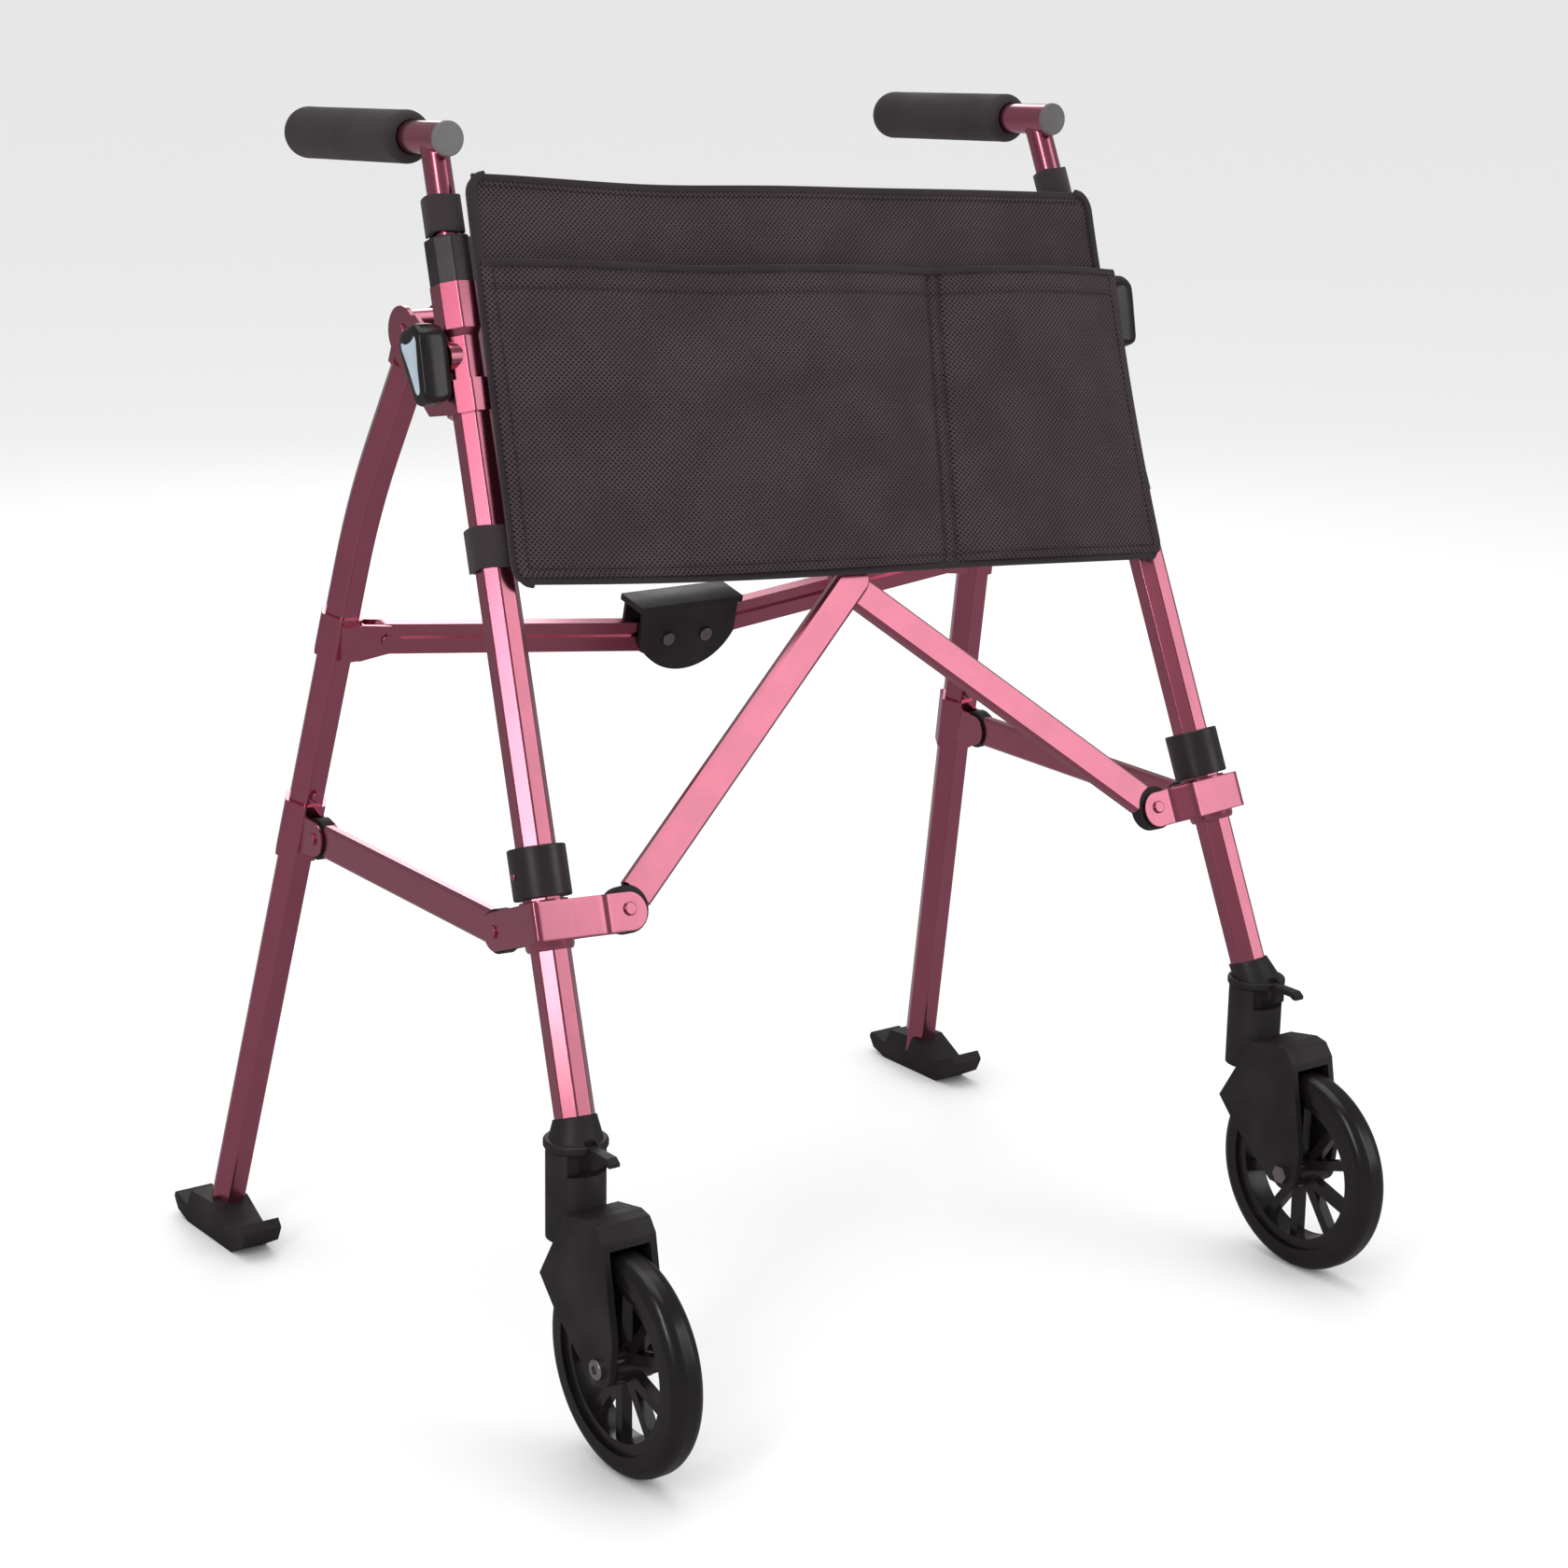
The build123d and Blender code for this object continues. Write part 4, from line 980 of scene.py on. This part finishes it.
    def build(self) -> None:
        """Panels first, then tape and stitches, then their materials and bodies."""
        p = self.palette
        drop = self.pocket_drop / self.height
        w, u = np.meshgrid(np.linspace(0.0, 1.0, 110), np.linspace(0.0, 1.0, 200), indexing="ij")
        back = self._panel("bag_back_panel", u, w, self.back_out(u, w))
        wp, up = np.meshgrid(np.linspace(drop, 0.985, 90), np.linspace(0.004, 0.996, 240), indexing="ij")
        gaps = (-self.seam_gap, self.seam_gap)
        crease = sum(np.exp(-(((up - self.seam_u(wp) - k) / 0.0042) ** 2)) * 0.0024 for k in gaps)
        crease += np.exp(-(((wp - drop - 0.062) / 0.007) ** 2)) * 0.0012
        pocket = self._panel("bag_pocket_panel", up, wp, self.pocket_out(up, wp) - crease, self.flare)
        line = np.linspace(0, 1, 260)
        one, zero = np.ones_like(line), np.zeros_like(line)
        tapes = [
            self._tape("bag_top_binding", line, zero + 0.006, self.back_out, 0.0028, 0.0017),
            self._tape("bag_left_binding", zero + 0.006, line, lambda a, b: self.back_out(a, b) + 0.0016,
                       0.0028, 0.0021),
            self._tape("bag_right_binding", one - 0.006, line, lambda a, b: self.back_out(a, b) + 0.0016,
                       0.0028, 0.0021),
            self._tape("bag_bottom_binding", line * 0.98 + 0.01, one - 0.010,
                       lambda a, b: self.back_out(a, b) + 0.0016, 0.0030, 0.0026),
            self._tape("bag_pocket_binding", line * 0.99 + 0.005, zero + drop, self.pocket_out, 0.0028,
                       0.0015, self.flare),
        ]
        rise = 0.0016
        inner = line * 0.97 + 0.015
        top_rows = [(inner, zero + 0.026, self.back_out(inner, zero + 0.026) + rise, 0.0)]
        hem_rows = [(inner, zero + drop + k, self.pocket_out(inner, zero + drop + k) + rise, self.flare)
                    for k in (0.010, 0.062)]
        down = drop + 0.01 + line * (0.97 - drop)
        seam = self.seam_u(down)
        seam_rows = [(seam + k, down, self.pocket_out(seam + k, down) + rise * 0.7, self.flare) for k in gaps]
        side_rows = [(zero + k, down, self.pocket_out(zero + k, down) + rise, self.flare)
                     for k in (0.018, 0.982)]
        foot_rows = [(inner, zero + 0.966, self.pocket_out(inner, zero + 0.966) + rise, self.flare)]
        stitches = self._stitches("bag_stitches", top_rows + hem_rows + seam_rows + side_rows + foot_rows)
        self.pieces = [back, pocket, *tapes, stitches]
        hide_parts("bag")
        for piece in self.pieces:
            material = p.mesh if piece in (back, pocket) else p.thread if piece is stitches else p.tape
            settle(piece, material, "left_frame")
            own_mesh(piece)


@dataclass
class Straps:
    """Hook-and-loop straps of one side: webbing wrapped round the leg with an overlapping end."""

    palette: Palette
    side: Side

    def _strap(self, name: str, t: float, radius: float, width: float, gauge: float) -> bpy.types.Object:
        """Ribbon: a spiral of a turn and a bit round the leg, its free end lying over its start.

        Args:
            name: piece name.
            t: distance down the leg.
            radius: radius of what it is wrapped round.
            width: width of the webbing.
            gauge: thickness of the webbing.

        Returns:
            The strap.
        """
        turn = np.linspace(0, 1.16, 120)
        angle = math.radians(200) - 2 * np.pi * turn
        lift = np.clip((turn - 0.93) / 0.1, 0, 1)
        reach = radius + gauge * (0.55 + lift * lift * (3 - 2 * lift) * 1.1)
        v = np.linspace(-0.5, 0.5, 9)
        along = t + width * v[None, :] + 0.0006 * np.sin(3 * angle)[:, None]
        points = leg_points(along, (reach * np.cos(angle))[:, None], (reach * np.sin(angle))[:, None])
        length = turn * 2 * np.pi * radius
        uv = np.stack(np.broadcast_arrays(length[:, None], (width * v)[None, :]), axis=-1)
        strap = grid_mesh(f"{self.side.value}_{name}", self.side.place(points), uv=uv,
                          flip=self.side is Side.RIGHT)
        solidify(strap, gauge)
        bevel(strap, 0.0003)
        return strap

    def build(self) -> None:
        """Upper strap on the guide and lower strap on the leg."""
        s = self.side.value
        upper = self._strap("upper_strap", t=0.0535, radius=0.0105, width=0.025, gauge=0.0018)
        lower = self._strap("lower_strap", t=0.278, radius=0.0136, width=0.028, gauge=0.0018)
        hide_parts(f"{s}_bag_straps")
        for strap in (upper, lower):
            settle(strap, self.palette.webbing, f"{s}_frame")


# ---------------------------------------------------------------- studio
@dataclass
class Studio:
    """Pale floor, soft lights and the camera."""

    eye: tuple = (-1.3874, -1.877, 0.9882)
    azimuth: float = -36.3
    elevation: float = 15.0
    roll: float = 1.0
    lens: float = 76.0

    def camera(self) -> None:
        """Camera turned by azimuth, elevation and roll."""
        a, e, r = (math.radians(k) for k in (self.azimuth, self.elevation, self.roll))
        right0 = Vector((math.cos(a), math.sin(a), 0))
        ahead = Vector((-math.sin(a) * math.cos(e), math.cos(a) * math.cos(e), -math.sin(e)))
        up0 = right0.cross(ahead)
        right = right0 * math.cos(r) + up0 * math.sin(r)
        up = up0 * math.cos(r) - right0 * math.sin(r)
        data = bpy.data.cameras.new("camera")
        data.lens, data.sensor_width, data.clip_end = self.lens, 36.0, 100.0
        cam = bpy.data.objects.new("camera", data)
        matrix = Matrix((right, up, -ahead)).transposed().to_4x4()
        matrix.translation = Vector(self.eye)
        cam.matrix_world = matrix
        bpy.context.scene.collection.objects.link(cam)
        bpy.context.scene.camera = cam

    @staticmethod
    def area(name: str, place: Sequence[float], size: Sequence[float], energy: float,
             aim: Sequence[float] = (0, 0, 0.45)) -> None:
        """One rectangular soft light.

        Args:
            name: light name.
            place: where it stands.
            size: width and height.
            energy: power in watts.
            aim: the point it faces.
        """
        data = bpy.data.lights.new(name, "AREA")
        data.shape, data.size, data.size_y, data.energy = "RECTANGLE", size[0], size[1], energy
        lamp = bpy.data.objects.new(name, data)
        way = Vector(aim) - Vector(place)
        lamp.location = place
        lamp.rotation_euler = way.to_track_quat("-Z", "Y").to_euler()
        bpy.context.scene.collection.objects.link(lamp)

    def floor(self) -> None:
        """Large pale floor; mirror rays see it darker, as with black cards round a product table."""
        half = 45.0
        corners = np.array([[[-half, -half, -0.0003], [half, -half, -0.0003]],
                            [[-half, half, -0.0003], [half, half, -0.0003]]])
        floor = grid_mesh("floor", corners)
        mat = bpy.data.materials.new("floor_paint")
        mat.use_nodes = True
        tree = Tree(mat.node_tree)
        shader = mat.node_tree.nodes["Principled BSDF"]
        shader.inputs["Roughness"].default_value = 0.9
        shader.inputs["Specular IOR Level"].default_value = 0.1
        path = tree.add("ShaderNodeLightPath")
        tree.link(tree.blend(path.outputs["Is Glossy Ray"], (0.94, 0.94, 0.94, 1),
                                       (0.24, 0.22, 0.23, 1)), shader.inputs["Base Color"])
        dress(floor, mat)

    def world(self) -> None:
        """Soft surround: white to the eye, medium as fill light, dark in mirror rays."""
        world = bpy.data.worlds.new("surround")
        bpy.context.scene.world = world
        world.use_nodes = True
        tree = Tree(world.node_tree)
        path = tree.add("ShaderNodeLightPath")
        glossy = tree.blend(path.outputs["Is Glossy Ray"], (0.88, 0.88, 0.89, 1), (0.24, 0.23, 0.235, 1))
        seen = tree.blend(path.outputs["Is Camera Ray"], glossy, (0.86, 0.86, 0.86, 1))
        tree.link(seen, world.node_tree.nodes["Background"].inputs[0])

    def build(self) -> None:
        """Set the whole studio."""
        self.camera()
        self.floor()
        self.world()
        self.area("front_right_box", (1.95, -2.55, 1.55), (1.5, 2.0), energy=13.5)
        self.area("left_strip", (-2.3, -1.25, 1.75), (0.35, 1.9), energy=15)
        self.area("overhead_box", (0.2, 0.4, 3.3), (2.6, 2.6), energy=28, aim=(0, 0, 0))
        self.area("back_box", (1.4, 2.6, 1.9), (1.0, 1.6), energy=12)
        view = bpy.context.scene.view_settings
        view.view_transform = "Standard"
        view.look = "None"


def main() -> None:
    """Build every sub-assembly in order, then the studio."""
    logging.basicConfig(level=logging.INFO, format="%(name)s: %(message)s")
    palette = Palette()
    Tubework(palette).dress_all()
    MeshBag(palette).build()
    for side in Side:
        FoamGrip(palette, side).build()
        SlidingBracket(palette, side).build()
        HeightKnob(palette, side).build()
        Straps(palette, side).build()
    Studio().build()


if __name__ == "__main__":
    main()
